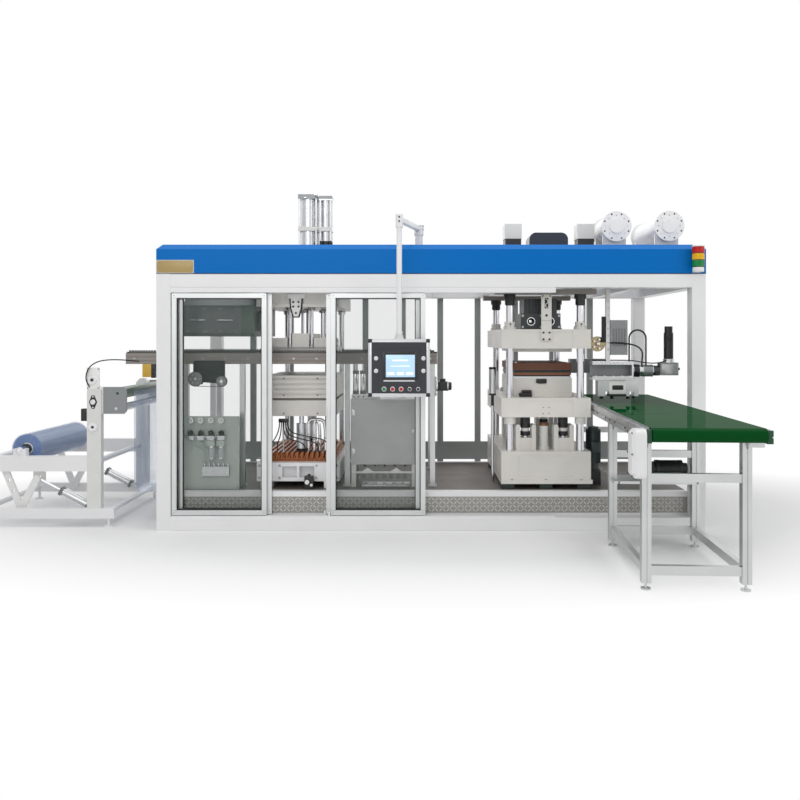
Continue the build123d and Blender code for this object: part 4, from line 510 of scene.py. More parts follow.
ZONED = {
    # The bed plate's dark brown is painted shade.
    "bed_plates": (BED_IN_SHADE, [(within(y=(-9, -0.811), z=(0, 0.266)), TREAD_SHADED),
                         (within(y=(0.811, 9), z=(0, 0.266)), TREAD_SHADED)]),
    "cutting_columns": (CHROME, [
        (within(z=(1.6885, 1.7545)), BEIGE),
        (within(z=(1.9015, 1.9945)), BLACK),
        (within(z=(1.9945, 9)), TAUPE),
        (within(x=(0, 0.612), y=(-0.42, -0.3), z=(1.0, 1.112)), BLACK),
        (within(x=(0, 0.612), y=(-0.42, -0.3), z=(1.33, 1.4)), BLACK),
        (within(x=(0, 0.612), y=(-0.42, -0.3), z=(1.112, 1.33)), SILVER)]),
    "lower_table": (BEIGE, [(within(z=(0, 0.9195)), CHROME), (within(z=(1.0595, 1.0805)), TAUPE)]),
    "upper_table": (BEIGE, [(within(z=(1.4545, 1.4835)), SILVER), (within(z=(1.656, 9)), CHROME)]
                    + [(within(z=(1.531, 9), **near(x, y, 0.0162)), CHROME) for x, y in GUIDE_RODS]),
    "cutting_base": (BEIGE, [(within(z=(0, 0.3565)), PADS),
                             (within(x=(0.94, 1.054), y=(-0.66, -0.53), z=(0.6345, 0.846)), WHITE),
                             (within(x=(0.94, 1.054), y=(-0.66, -0.53), z=(0.846, 0.9)), COPPER)]),
    "lower_platen": (BEIGE, [(within(z=(0, 0.9295), **near(x, y, 0.052)), WHITE) for x, y in PRESS_COLUMNS]
                     + [zone for x, y in PRESS_RAMS for zone in (
                         (within(z=(0, 0.7595), **near(x, y, 0.05)), CHROME),
                         (within(z=(0.7595, 0.8), **near(x, y, 0.05)), BLACK),
                         (within(z=(0.8, 0.83), **near(x, y, 0.05)), WHITE),
                         (within(z=(0.83, 0.9295), **near(x, y, 0.05)), BLACK))]),
    "die_set": (BEIGE, [(within(z=(1.2572, 1.272)), SILVER), (within(z=(1.272, 1.284)), BLACK),
                        (within(z=(1.284, 1.306)), COPPER), (within(z=(1.306, 1.33)), BLACK),
                        (within(z=(1.3302, 9)), BOARD)]),
    "forming_columns": (CHROME, [(within(x=(-1.2, -1.1), z=(0.6, 0.852)), SILVER),
                                 (within(x=(-1.2, -1.1), z=(0.6, 0.63)), BLACK),
                                 (within(z=(0.5, 0.565), x=(-1.47, -1.38)), DARK),
                                 (within(z=(0.5, 0.565), x=(-0.92, -0.83)), DARK)]),
    "cooling_plate": (COOLING, []),
    "stacker_frame": (SILVER, [(within(x=(1.52, 1.556), z=(1.4105, 9)), WHITE),
                               (within(x=(1.55, 1.715), z=(1.46, 1.78)), GREY),
                               (within(z=(1.2525, 1.2695)), WHITE),
                               (within(z=(1.27, 1.41), y=(-0.7042, 0.36)), GREY),
                               (within(z=(0, 1.2515)), SILVER)]),
    "stacker_motors": (BLACK, [(within(x=(0, 1.52)), BRONZE), (within(x=(1.816, 1.841)), SILVER),
                               (within(x=(1.841, 1.931), z=(0, 1.4)), GREY),
                               (within(x=(1.931, 1.99), z=(0, 1.4)), DARK),
                               (within(x=(1.99, 2.2), z=(0, 1.4)), GREY), (within(z=(1.4, 1.424)), SILVER)]),
    "roof_motors": (WHITE, [(within(z=(0, 2.4805)), BLACK), (within(x=(0.865, 1.215)), NAVY)]),
    "panel_case": (SILVER, [(within(z=(1.606, 9)), WHITE)]),
    "air_panel": (PANEL, [(within(y=(-9, -0.7215), z=(0.87, 0.94)), SILVER),
                          (within(y=(-9, -0.7215), z=(0.775, 0.83)), BLACK),
                          (within(y=(-9, -0.7215), z=(0.735, 0.775)), SILVER),
                          (within(y=(-9, -0.7215), z=(0.55, 0.69)), BOWL),
                          (within(y=(-9, -0.7215), z=(0.42, 0.515)), SILVER)]),
    "press_drive": (MOTOR, [(within(z=(1.6, 9)), DARK), (within(z=(0, 0.45)), BLACK)]),
    "rail_drive": (BLACK, [(within(x=(-2.12, -1.99), y=(-9, -0.6075)), GREY),
                           (within(x=(-1.875, -1.775), y=(-9, -0.6075)), GREY)]),
    "roof_cylinders": (SILVER, [(within(z=(2.609, 2.648)), WHITE), (within(z=(2.908, 9)), GREY),
                                (within(x=(-1.035, 0), z=(0, 2.52)), BLACK),
                                (within(x=(-9, -1.035), z=(0, 2.2)), CHROME)]),
    "nip_rollers": (ROLLER, [(within(z=(0, 1.06)), SILVER), (within(z=(1.3, 9)), SILVER)]),
    "stand_columns": (WHITE, [(within(x=(-2.799, -2.55), z=(0.9, 1.3)), GREY)]),
    "vacuum_pump": (PUMP, [(within(z=(0, 0.5435)), GREY)]),
    "belt_frame": (SILVER, [(within(y=(-9, -2.56)), ROLLER)]),
    "heater_hood": (HOOD, [(within(z=(1.991, 9)), SILVER),
                           (within(x=(-1.66, -1.5), y=(-9, -0.61)), HOOD_PLATE)]),
    "crosshead": (BEIGE, [(within(z=(2.0055, 9)), TAUPE)]),
    "control_cabinet": (CABINET, [(within(z=(0, 0.5065)), WHITE)]),
}


FINISHES = {
    "frame paint": ("corner_posts", "side_beams", "cross_beams", "roof_plates", "door_tracks", "bed_rails",
        "stand_beams", "stand_cross_tubes", "roof_drums", "panel_arm", "drive_guard", "forming_base"),
    "cover paint": ("cover_sides", "cover_ends"),
    "press paint": ("upper_platen",),
    "taupe paint": ("film_rails",),
    "green grey": ("rear_guard",),
    "black paint": ("rail_chains",),
    "polished steel": ("lift_rods",),
    "profile aluminium": ("belt_legs", "belt_stretchers", "rail_posts", "lift_cylinders"),
    "white paint": ("loading_lever",),
    "belt green": ("delivery_belt",),
    "film": ("film_roll", "film_web"),
    "lens red": ("signal_lamp",),
    "door aluminium": tuple(f"door_{letter}_frame" for letter in "abcd"),
    "door glass": tuple(f"door_{letter}_glass" for letter in "abcd"),
}


def dress(node, material):
    """Give one CAD node a material."""
    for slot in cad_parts[node].material_slots:
        slot.material = material


def dress_nodes():
    """Give every CAD node its finish."""
    for finish, nodes in FINISHES.items():
        for node in nodes:
            dress(node, MATERIALS[finish])
    for node, (base, zones) in ZONED.items():
        dress(node, zoned(node.replace("_", " ") + " finish", base, zones))


# Modelling helpers


def steps(start, pitch, count):
    """Evenly spaced places along one direction."""
    return [start + pitch * k for k in range(count)]


def grid(*rows):
    """Every place of a grid along x, y and z, where a plain number is a row of one."""
    return itertools.product(*(row if isinstance(row, (tuple, list)) else (row,) for row in rows))


def circle(count, radius, start=0.0):
    """Offsets of places spread round a circle."""
    angles = steps(start, 2 * math.pi / count, count)
    return [(radius * math.cos(angle), radius * math.sin(angle)) for angle in angles]


def turn_about(bm, verts, degrees, axis):
    """Turn points about an axis through the origin."""
    bmesh.ops.rotate(bm, cent=(0, 0, 0), matrix=Matrix.Rotation(math.radians(degrees), 3, axis), verts=verts)


def point_along(bm, verts, axis):
    """Turn points that stand along z so that they stand along another axis."""
    turn = Vector((0, 0, 1)).rotation_difference(Vector(axis).normalized()).to_matrix()
    bmesh.ops.rotate(bm, cent=(0, 0, 0), matrix=turn, verts=verts)


def round_edges(bm, edges, radius, segments=2):
    """Round the edges given."""
    bmesh.ops.bevel(bm, geom=edges, offset=radius, segments=segments, profile=0.5, affect="EDGES",
                    material=-1)


def add_block(bm, low, high, bevel=0.0, segments=2):
    """A block between two corners, its edges rounded when asked."""
    made = bmesh.ops.create_cube(bm, size=1.0)["verts"]
    low, high = Vector(low), Vector(high)
    bmesh.ops.scale(bm, vec=high - low, verts=made)
    bmesh.ops.translate(bm, vec=(low + high) / 2, verts=made)
    if bevel:
        round_edges(bm, list({e for v in made for e in v.link_edges}), bevel, segments)
    return made


def add_rod(bm, radius, start, end, sides=24, bevel=0.0):
    """A round bar between two points."""
    start, end = Vector(start), Vector(end)
    run = end - start
    made = bmesh.ops.create_cone(bm, cap_ends=True, segments=sides, radius1=radius, radius2=radius,
                                 depth=run.length)["verts"]
    point_along(bm, made, run)
    bmesh.ops.translate(bm, vec=(start + end) / 2, verts=made)
    if bevel:
        rims = [e for e in {e for v in made for e in v.link_edges}
                if len(e.link_faces) == 2 and any(len(f.verts) > 4 for f in e.link_faces)]
        round_edges(bm, rims, bevel)


def finish_piece(name, bm, body, material, smooth=30.0, replaces=()):
    """Turn a bmesh into a named piece that rides on a body."""
    bmesh.ops.recalc_face_normals(bm, faces=bm.faces)
    mesh = bpy.data.meshes.new(name)
    bm.to_mesh(mesh)
    bm.free()
    for polygon in mesh.polygons:
        polygon.use_smooth = smooth > 0
    if smooth > 0:
        mesh.set_sharp_from_angle(angle=math.radians(smooth))
    mesh.materials.append(MATERIALS[material])
    piece = bpy.data.objects.new(name, mesh)
    bpy.context.scene.collection.objects.link(piece)
    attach(piece, body)
    if replaces:
        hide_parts(*replaces)
    return piece


class Group:
    """Collects the solids of one piece and writes it when the block ends."""

    def __init__(self, name, body, material, smooth=30.0, replaces=()):
        self.facts = (name, body, material, smooth, replaces)

    def __enter__(self):
        self.bm = bmesh.new()
        return self.bm

    def __exit__(self, kind, value, trace):
        if kind is None:
            name, body, material, smooth, replaces = self.facts
            finish_piece(name, self.bm, body, material, smooth, replaces)
        return False


def join(bm, part):
    """Add a finished solid to a piece."""
    bmesh.ops.recalc_face_normals(part, faces=part.faces[:])
    draft = bpy.data.meshes.new("draft")
    part.to_mesh(draft)
    part.free()
    bm.from_mesh(draft)
    bpy.data.meshes.remove(draft)


def add_turned(bm, outline, place, axis, sides=32):
    """A turned body: an outline of radius and height pairs spun round an axis."""
    part = bmesh.new()
    corners = [part.verts.new((radius, 0, height)) for radius, height in outline]
    edges = [part.edges.new(pair) for pair in zip(corners, corners[1:])]
    bmesh.ops.spin(part, geom=corners + edges, cent=(0, 0, 0), axis=(0, 0, 1), dvec=(0, 0, 0),
                   angle=2 * math.pi, steps=sides, use_merge=True)
    bmesh.ops.remove_doubles(part, verts=part.verts[:], dist=1e-6)
    point_along(part, part.verts[:], axis)
    bmesh.ops.translate(part, vec=Vector(place), verts=part.verts[:])
    join(bm, part)


def add_ring(bm, outer, inner, place, axis, length, sides=32):
    """A ring with a hole through it."""
    edge = min(outer - inner, length) * 0.15
    outline = ((inner, 0), (outer - edge, 0), (outer, edge), (outer, length - edge), (outer - edge, length),
               (inner, length), (inner, 0))
    add_turned(bm, outline, place, axis, sides)


def add_disc(bm, radius, place, axis, length, sides=32):
    """A disc with a softened rim."""
    edge = min(radius, length) * 0.2
    outline = ((0, 0), (radius, 0), (radius, length - edge), (radius - edge, length), (0, length))
    add_turned(bm, outline, place, axis, sides)


def add_bolt(bm, place, axis, radius, height):
    """A hexagon bolt head on its washer."""
    place, axis = Vector(place), Vector(axis)
    add_rod(bm, radius * 1.5, place - axis * 0.001, place + axis * height * 0.3, 14)
    add_rod(bm, radius, place + axis * height * 0.3, place + axis * height, 6, bevel=radius * 0.12)


def add_screw(bm, place, axis, radius, height):
    """A round screw head with its recess."""
    outline = ((0, height * 0.4), (radius * 0.5, height * 0.4), (radius * 0.5, height),
               (radius * 0.88, height), (radius, height * 0.85), (radius, -0.001), (0, -0.001))
    add_turned(bm, outline, place, axis, 14)


def add_screws(name, body, material, places, axis, radius, height):
    """A piece of round screw heads at the places given."""
    with Group(name, body, material) as bm:
        for place in places:
            add_screw(bm, place, axis, radius, height)


def add_bolts(name, body, material, places, axis, radius, height):
    """A piece of hexagon bolt heads at the places given."""
    with Group(name, body, material) as bm:
        for place in places:
            add_bolt(bm, place, axis, radius, height)


def add_plate(bm, corners, push, bevel=0.0):
    """A flat plate: an outline of points pushed to its thickness."""
    part = bmesh.new()
    face = part.faces.new([part.verts.new(corner) for corner in corners])
    grown = bmesh.ops.extrude_face_region(part, geom=[face])["geom"]
    bmesh.ops.translate(part, vec=push, verts=[g for g in grown if isinstance(g, bmesh.types.BMVert)])
    if bevel:
        round_edges(part, part.edges[:], bevel)
    join(bm, part)


def add_border(bm, x, z, y, width, bevel=0.0):
    """A rectangular border that stands in a plane facing front."""
    left, right = x[0] + width, x[1] - width
    for low_x, high_x, low_z, high_z in (
            (x[0], left, z[0], z[1]), (right, x[1], z[0], z[1]),
            (left, right, z[0], z[0] + width), (left, right, z[1] - width, z[1])):
        add_block(bm, (low_x, y[0], low_z), (high_x, y[1], high_z), bevel)


def smooth_line(name, points, thickness):
    """A curve of one open spline whose control points are the points given."""
    curve = bpy.data.curves.new(name, "CURVE")
    curve.dimensions = "3D"
    spline = curve.splines.new("NURBS")
    spline.points.add(len(points) - 1)
    for k, point in enumerate(points):
        spline.points[k].co = (*point, 1.0)
    spline.order_u = 3
    spline.use_endpoint_u = True
    spline.resolution_u = 8
    curve.bevel_depth = thickness / 2
    curve.bevel_resolution = 3
    curve.use_fill_caps = True
    return curve


def pipe(name, body, lines, thickness, material):
    """Rigid bent pipes as one piece."""
    with Group(name, body, material) as bm:
        for points in lines:
            draft = bpy.data.objects.new(name + "_line", smooth_line(name + "_line", points, thickness))
            bpy.context.scene.collection.objects.link(draft)
            bpy.context.view_layer.update()
            shaped = draft.evaluated_get(bpy.context.evaluated_depsgraph_get())
            mesh = bpy.data.meshes.new_from_object(shaped)
            bpy.data.objects.remove(draft)
            bm.from_mesh(mesh)
            bpy.data.meshes.remove(mesh)
            bmesh.ops.remove_doubles(bm, verts=bm.verts[:], dist=1e-6)


def hose(name, points, diameter):
    """A hose with both ends in the machine."""
    curve = smooth_line(name, points, diameter)
    curve.materials.append(MATERIALS["black rubber"])
    piece = bpy.data.objects.new(name, curve)
    bpy.context.scene.collection.objects.link(piece)
    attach(piece, ROOT)


FRONT, BACK = (0, -1, 0), (0, 1, 0)
UP, DOWN = (0, 0, 1), (0, 0, -1)
LEFT, RIGHT = (-1, 0, 0), (1, 0, 0)


# Operators


class MACHINE_OT_finishes(bpy.types.Operator):
    """Make the materials and give every frame node its own"""

    bl_idname = "machine.finishes"
    bl_label = "Finishes"

    def execute(self, context):
        make_materials()
        dress_nodes()
        return {"FINISHED"}


class MACHINE_OT_stage(bpy.types.Operator):
    """Floor, lights, background and camera"""

    bl_idname = "machine.stage"
    bl_label = "Stage"

    def execute(self, context):
        floor_mesh = bpy.data.meshes.new("floor")
        bm = bmesh.new()
        bmesh.ops.create_grid(bm, x_segments=1, y_segments=1, size=40.0)
        bm.to_mesh(floor_mesh)
        bm.free()
        floor = bpy.data.objects.new("floor", floor_mesh)
        context.scene.collection.objects.link(floor)
        floor_mesh.materials.append(floor_material())
        set_world()
        for name, place, aim, width, height, power in LAMPS:
            add_lamp(name, place, aim, width, height, power)
        add_camera()
        context.scene.view_settings.view_transform = "Standard"
        return {"FINISHED"}


# How fast the floor fades to white along x and y
FLOOR_REACH = (0.22, 0.42, 0.0)

# Lamps: name, place, aim, width, height, power
LAMPS = (
    ("top_softbox", (0.0, -1.0, 6.0), (0.0, -0.2, 1.0), 9.0, 5.0, 170.0),
    ("front_softbox", (-2.5, -8.5, 4.6), (0.0, 0.0, 1.2), 5.0, 3.0, 120.0),
    ("right_softbox", (6.5, -5.0, 3.6), (1.0, 0.0, 1.2), 3.5, 3.0, 65.0),
    ("rear_softbox", (0.0, 6.5, 4.0), (0.0, 0.0, 1.2), 8.0, 3.0, 70.0),
)


def floor_material():
    """Pale floor that takes soft shadows near the machine and fades to white further out."""
    material = bpy.data.materials.new("floor")
    material.use_nodes = True
    tree = material.node_tree
    tree.nodes.clear()
    out = tree.nodes.new("ShaderNodeOutputMaterial")
    plain = tree.nodes.new("ShaderNodeBsdfDiffuse")
    plain.inputs["Color"].default_value = (0.93, 0.93, 0.93, 1)
    white = tree.nodes.new("ShaderNodeEmission")
    white.inputs["Color"].default_value = (1, 1, 1, 1)
    mix = tree.nodes.new("ShaderNodeMixShader")
    length = tree.nodes.new("ShaderNodeVectorMath")
    length.operation = "LENGTH"
    tree.links.new(vector_step(tree, "MULTIPLY", object_place(tree), FLOOR_REACH), length.inputs[0])
    fade = arith(tree, "SUBTRACT", length.outputs["Value"], 0.75, clamp=True)
    fade = arith(tree, "MULTIPLY", fade, 2.2, clamp=True)
    tree.links.new(arith(tree, "MULTIPLY", fade, seen_directly(tree)), mix.inputs["Fac"])
    tree.links.new(plain.outputs["BSDF"], mix.inputs[1])
    tree.links.new(white.outputs["Emission"], mix.inputs[2])
    tree.links.new(mix.outputs["Shader"], out.inputs["Surface"])
    return material


def set_world():
    """Even light from all round, and white behind the machine."""
    world = bpy.data.worlds.new("studio")
    bpy.context.scene.world = world
    world.use_nodes = True
    tree = world.node_tree
    tree.nodes.clear()
    out = tree.nodes.new("ShaderNodeOutputWorld")
    light = tree.nodes.new("ShaderNodeBackground")
    light.inputs["Color"].default_value = (1, 1, 1, 1)
    light.inputs["Strength"].default_value = 0.5
    white = tree.nodes.new("ShaderNodeBackground")
    white.inputs["Color"].default_value = (1, 1, 1, 1)
    white.inputs["Strength"].default_value = 1.0
    mix = tree.nodes.new("ShaderNodeMixShader")
    tree.links.new(seen_directly(tree), mix.inputs["Fac"])
    tree.links.new(light.outputs["Background"], mix.inputs[1])
    tree.links.new(white.outputs["Background"], mix.inputs[2])
    tree.links.new(mix.outputs["Shader"], out.inputs["Surface"])


def add_lamp(name, place, aim, width, height, power):
    """A rectangular area light that points at a place."""
    light = bpy.data.lights.new(name, "AREA")
    light.shape = "RECTANGLE"
    light.size = width
    light.size_y = height
    light.energy = power
    lamp = bpy.data.objects.new(name, light)
    lamp.location = place
    lamp.rotation_euler = (Vector(aim) - Vector(place)).to_track_quat("-Z", "Y").to_euler()
    bpy.context.scene.collection.objects.link(lamp)


# The photograph's view: its size and vanishing point in pixels, and the eye in metres
IMAGE_SIZE = 800
VANISHING_POINT = (414.0, 339.0)
FOCAL_PIXELS = 783.0
EYE = (-0.143, -7.475, 1.605)


def add_camera():
    """The photograph's view: level, in front of the operator side."""
    data = bpy.data.cameras.new("camera")
    data.sensor_width = 36.0
    data.lens = FOCAL_PIXELS / IMAGE_SIZE * data.sensor_width
    data.shift_x = -(VANISHING_POINT[0] - IMAGE_SIZE / 2) / IMAGE_SIZE
    data.shift_y = -(IMAGE_SIZE / 2 - VANISHING_POINT[1]) / IMAGE_SIZE
    camera = bpy.data.objects.new("camera", data)
    camera.location = EYE
    camera.rotation_euler = (math.radians(90), 0, 0)
    bpy.context.scene.collection.objects.link(camera)
    bpy.context.scene.camera = camera


class MACHINE_OT_cover(bpy.types.Operator):
    """Bare plate with its rivets, seal and end screws on the roof cover"""

    bl_idname = "machine.cover"
    bl_label = "Cover"

    def execute(self, context):
        low, high = (-2.297, -0.9275, 2.155), (-1.984, -0.9245, 2.266)
        with Group("cover_plate", ROOT, "plate tan") as bm:
            add_block(bm, low, high, 0.0008)
        with Group("cover_plate_rim", ROOT, "brushed steel") as bm:
            add_border(bm, (low[0], high[0]), (low[2], high[2]), (-0.9285, -0.9272), 0.004)
            for place in grid((low[0] + 0.012, high[0] - 0.012), -0.9274, (low[2] + 0.012, high[2] - 0.012)):
                add_screw(bm, place, FRONT, 0.0035, 0.0018)
        with Group("cover_seal", ROOT, "black rubber") as bm:
            for y, outward in ((-0.925, -1), (0.925, 1)):
                edges = sorted((y - outward * 0.001, min(y + outward * 0.0012, 0.925)))
                add_block(bm, (-2.298, edges[0], 2.1505), (2.298, edges[1], 2.1555))
            for x, outward in ((-2.3, -1), (2.3, 1)):
                edges = sorted((x - outward * 0.001, x))
                add_block(bm, (edges[0], -0.92, 2.1505), (edges[1], 0.92, 2.1555))
        with Group("cover_end_screws", ROOT, "brushed steel") as bm:
            for side in (-1, 1):
                for place in grid(side * 2.2955, steps(-0.75, 0.3, 6), 2.19):
                    add_screw(bm, place, (side, 0, 0), 0.006, 0.0045)
        return {"FINISHED"}


# Length of the tread plate skirt between the corner posts
TREAD_LENGTH = 4.34


class MACHINE_OT_frame(bpy.types.Operator):
    """Weld seams, tread plate lugs and skirt screws of the frame"""

    bl_idname = "machine.frame"
    bl_label = "Frame"

    def execute(self, context):
        with Group("weld_seams", ROOT, "frame paint") as bm:
            corners = [*grid((-2.182, 2.182), (-0.9245, 0.9228)), *grid((-2.2977, 2.2977), (-0.807, 0.807))]
            for (x, y), (foot, head) in itertools.product(corners, ((0.006, 0.104), (2.042, 2.146))):
                add_rod(bm, 0.0022, (x, y, foot), (x, y, head), 8)
        # The lugs take a lighter finish than the plate: painted highlight.
        with Group("tread_lugs", ROOT, "tread lug painted highlight") as bm:
            pitch, length = sizes().lug_pitch, sizes().lug_length
            columns = int(TREAD_LENGTH / pitch)
            for side, column, row in itertools.product((-1, 1), range(columns), range(4)):
                lug = bmesh.ops.create_cone(bm, cap_ends=True, segments=8, radius1=1.0, radius2=0.6,
                                            depth=1.0)["verts"]
                bmesh.ops.scale(bm, vec=(length / 2, 0.0036, 0.0026), verts=lug)
                turn_about(bm, lug, 45 if (column + row) % 2 else -45, "Z")
                turn_about(bm, lug, -90 * side, "X")
                x = -TREAD_LENGTH / 2 + pitch * (column + 0.5)
                bmesh.ops.translate(bm, vec=(x, side * 0.8148, 0.1495 + 0.0315 * row), verts=lug)
        with Group("skirt_screws", ROOT, "brushed steel") as bm:
            for x, (y, axis) in itertools.product(steps(-2.1, 0.42, 11), ((-0.814, FRONT), (0.814, BACK))):
                add_screw(bm, (x, y, 0.258), axis, 0.005, 0.0026)
        return {"FINISHED"}


class MACHINE_OT_doors(bpy.types.Operator):
    """Gaskets, corner joints and finger pulls of the sliding doors"""

    bl_idname = "machine.doors"
    bl_label = "Doors"

    def execute(self, context):
        profile, seal = 0.04, sizes().gasket
        bottom, top = 0.126, 1.989
        for letter in "abcd":
            body = f"door_{letter}"
            low, high = box(f"door_{letter}_frame")
            glass = box(f"door_{letter}_glass")
            x = (low[0] + profile - 0.001, high[0] - profile + 0.001)
            z = (bottom + profile - 0.001, top - profile + 0.001)
            with Group(f"door_{letter}_gasket", body, "black rubber") as bm:
                add_border(bm, x, z, (glass[0][1] - 0.006, glass[0][1] + 0.001), seal, 0.001)
                add_border(bm, x, z, (glass[1][1] - 0.001, glass[1][1] + 0.006), seal, 0.001)
            with Group(f"door_{letter}_joints", body, "black rubber") as bm:
                faces = (low[1] - 0.0002, low[1] + profile - 0.0004)
                lines = (bottom + profile, top - profile)
                for y, line, start in grid(faces, lines, (low[0], high[0] - profile)):
                    add_block(bm, (start + 0.0005, y, line - 0.0005),
                              (start + profile - 0.0005, y + 0.0006, line + 0.0005))
            with Group(f"door_{letter}_screws", body, "brushed steel") as bm:
                middles = (low[0] + profile / 2, high[0] - profile / 2)
                for line, middle in grid((bottom + profile / 2, top - profile / 2), middles):
                    add_screw(bm, (middle, low[1], line), FRONT, 0.005, 0.0018)
            with Group(f"door_{letter}_pull", body, "profile aluminium") as bm:
                middle = high[0] - profile / 2 if letter in "ac" else low[0] + profile / 2
                add_border(bm, (middle - 0.013, middle + 0.013), (0.94, 1.06),
                           (low[1] - 0.002, low[1] + 0.001), 0.004, 0.0006)
        return {"FINISHED"}


class MACHINE_OT_heater(bpy.types.Operator):
    """Front plate, screws, handles and wiring box of the heater hood"""

    bl_idname = "machine.heater"
    bl_label = "Heater"

    def execute(self, context):
        with Group("heater_front_plate", ROOT, "heater grey") as bm:
            add_block(bm, (-2.14, -0.6185, 1.655), (-1.68, -0.6145, 1.885), 0.0015)
        add_screws("heater_screws", ROOT, "brushed steel",
                   grid((-2.125, -1.98, -1.84, -1.695), -0.618, (1.67, 1.87)), FRONT, 0.006, 0.004)
        with Group("heater_rim", ROOT, "black paint") as bm:
            add_border(bm, (-2.168, -1.542), (1.628, 1.65), (-0.62, -0.612), 0.003, 0.0008)
        with Group("heater_wiring_box", ROOT, "grey paint") as bm:
            add_block(bm, (-1.547, -0.46, 1.68), (-1.5, -0.28, 1.84), 0.004)
            add_block(bm, (-1.503, -0.455, 1.685), (-1.497, -0.285, 1.835), 0.002)
            for y in (-0.42, -0.37, -0.32):
                add_disc(bm, 0.013, (-1.523, y, 1.838), UP, 0.022, 16)
        bend = ((-0.07, -0.616), (-0.07, -0.65), (-0.05, -0.652), (0.05, -0.652), (0.07, -0.65),
                (0.07, -0.616))
        handles = [[(x + dx, y, 1.77) for dx, y in bend] for x in (-2.03, -1.79)]
        pipe("heater_handles", ROOT, handles, 0.012, "polished steel")
        return {"FINISHED"}


class MACHINE_OT_rails(bpy.types.Operator):
    """Chain pins, rail bolts and the belt of the chain drive"""

    bl_idname = "machine.rails"
    bl_label = "Rails"

    def execute(self, context):
        chain_low, chain_high = box("rail_chains")
        with Group("chain_pins", ROOT, "brushed steel") as bm:
            ends = ((chain_low[1] - 0.0016, chain_low[1] + 0.002),
                    (chain_high[1] - 0.002, chain_high[1] + 0.0016))
            for x, (near_y, far_y) in itertools.product(steps(-2.664, 0.024, 113), ends):
                add_rod(bm, 0.0032, (x, near_y, 1.4865), (x, far_y, 1.4865), 8)
        with Group("rail_bolts", ROOT, "brushed steel") as bm:
            for x, (y, axis) in itertools.product(steps(-2.6, 0.2, 14), ((-0.595, FRONT), (0.415, BACK))):
                add_bolt(bm, (x, y, 1.4325), axis, 0.007, 0.006)
            for x, y, side in grid((-2.15, -1.655, -0.73, 0.02), (-0.565, 0.385), (-0.027, 0.027)):
                add_bolt(bm, (x + side, y, 0.32), UP, 0.006, 0.008)
        wheel, idler = Vector((-2.056, 0, 1.255)), Vector((-1.826, 0, 1.235))
        belt_y = (-0.631, -0.613)
        with Group("drive_belt", ROOT, "black rubber") as bm:
            for centre, radius in ((wheel, 0.062), (idler, 0.045)):
                add_ring(bm, radius + 0.004, radius - 0.0005, (centre.x, belt_y[1], centre.z), FRONT,
                         belt_y[1] - belt_y[0], 40)
            for side in (1, -1):
                start = wheel + Vector((side * 0.006, 0, side * 0.0635))
                end = idler + Vector((side * 0.004, 0, side * 0.0465))
                add_plate(bm, [(p.x, belt_y[0], p.z + lift) for p, lift in
                               ((start, -0.002), (end, -0.002), (end, 0.002), (start, 0.002))],
                          (0, belt_y[1] - belt_y[0], 0))
        with Group("drive_bolts", ROOT, "polished steel") as bm:
            for centre, ring, count in ((wheel, 0.038, 6), (idler, 0.026, 4)):
                for dx, dz in circle(count, ring):
                    add_screw(bm, (centre.x + dx, -0.6325, centre.z + dz), FRONT, 0.005, 0.003)
                add_bolt(bm, (centre.x, -0.6325, centre.z), FRONT, 0.01, 0.009)
        return {"FINISHED"}


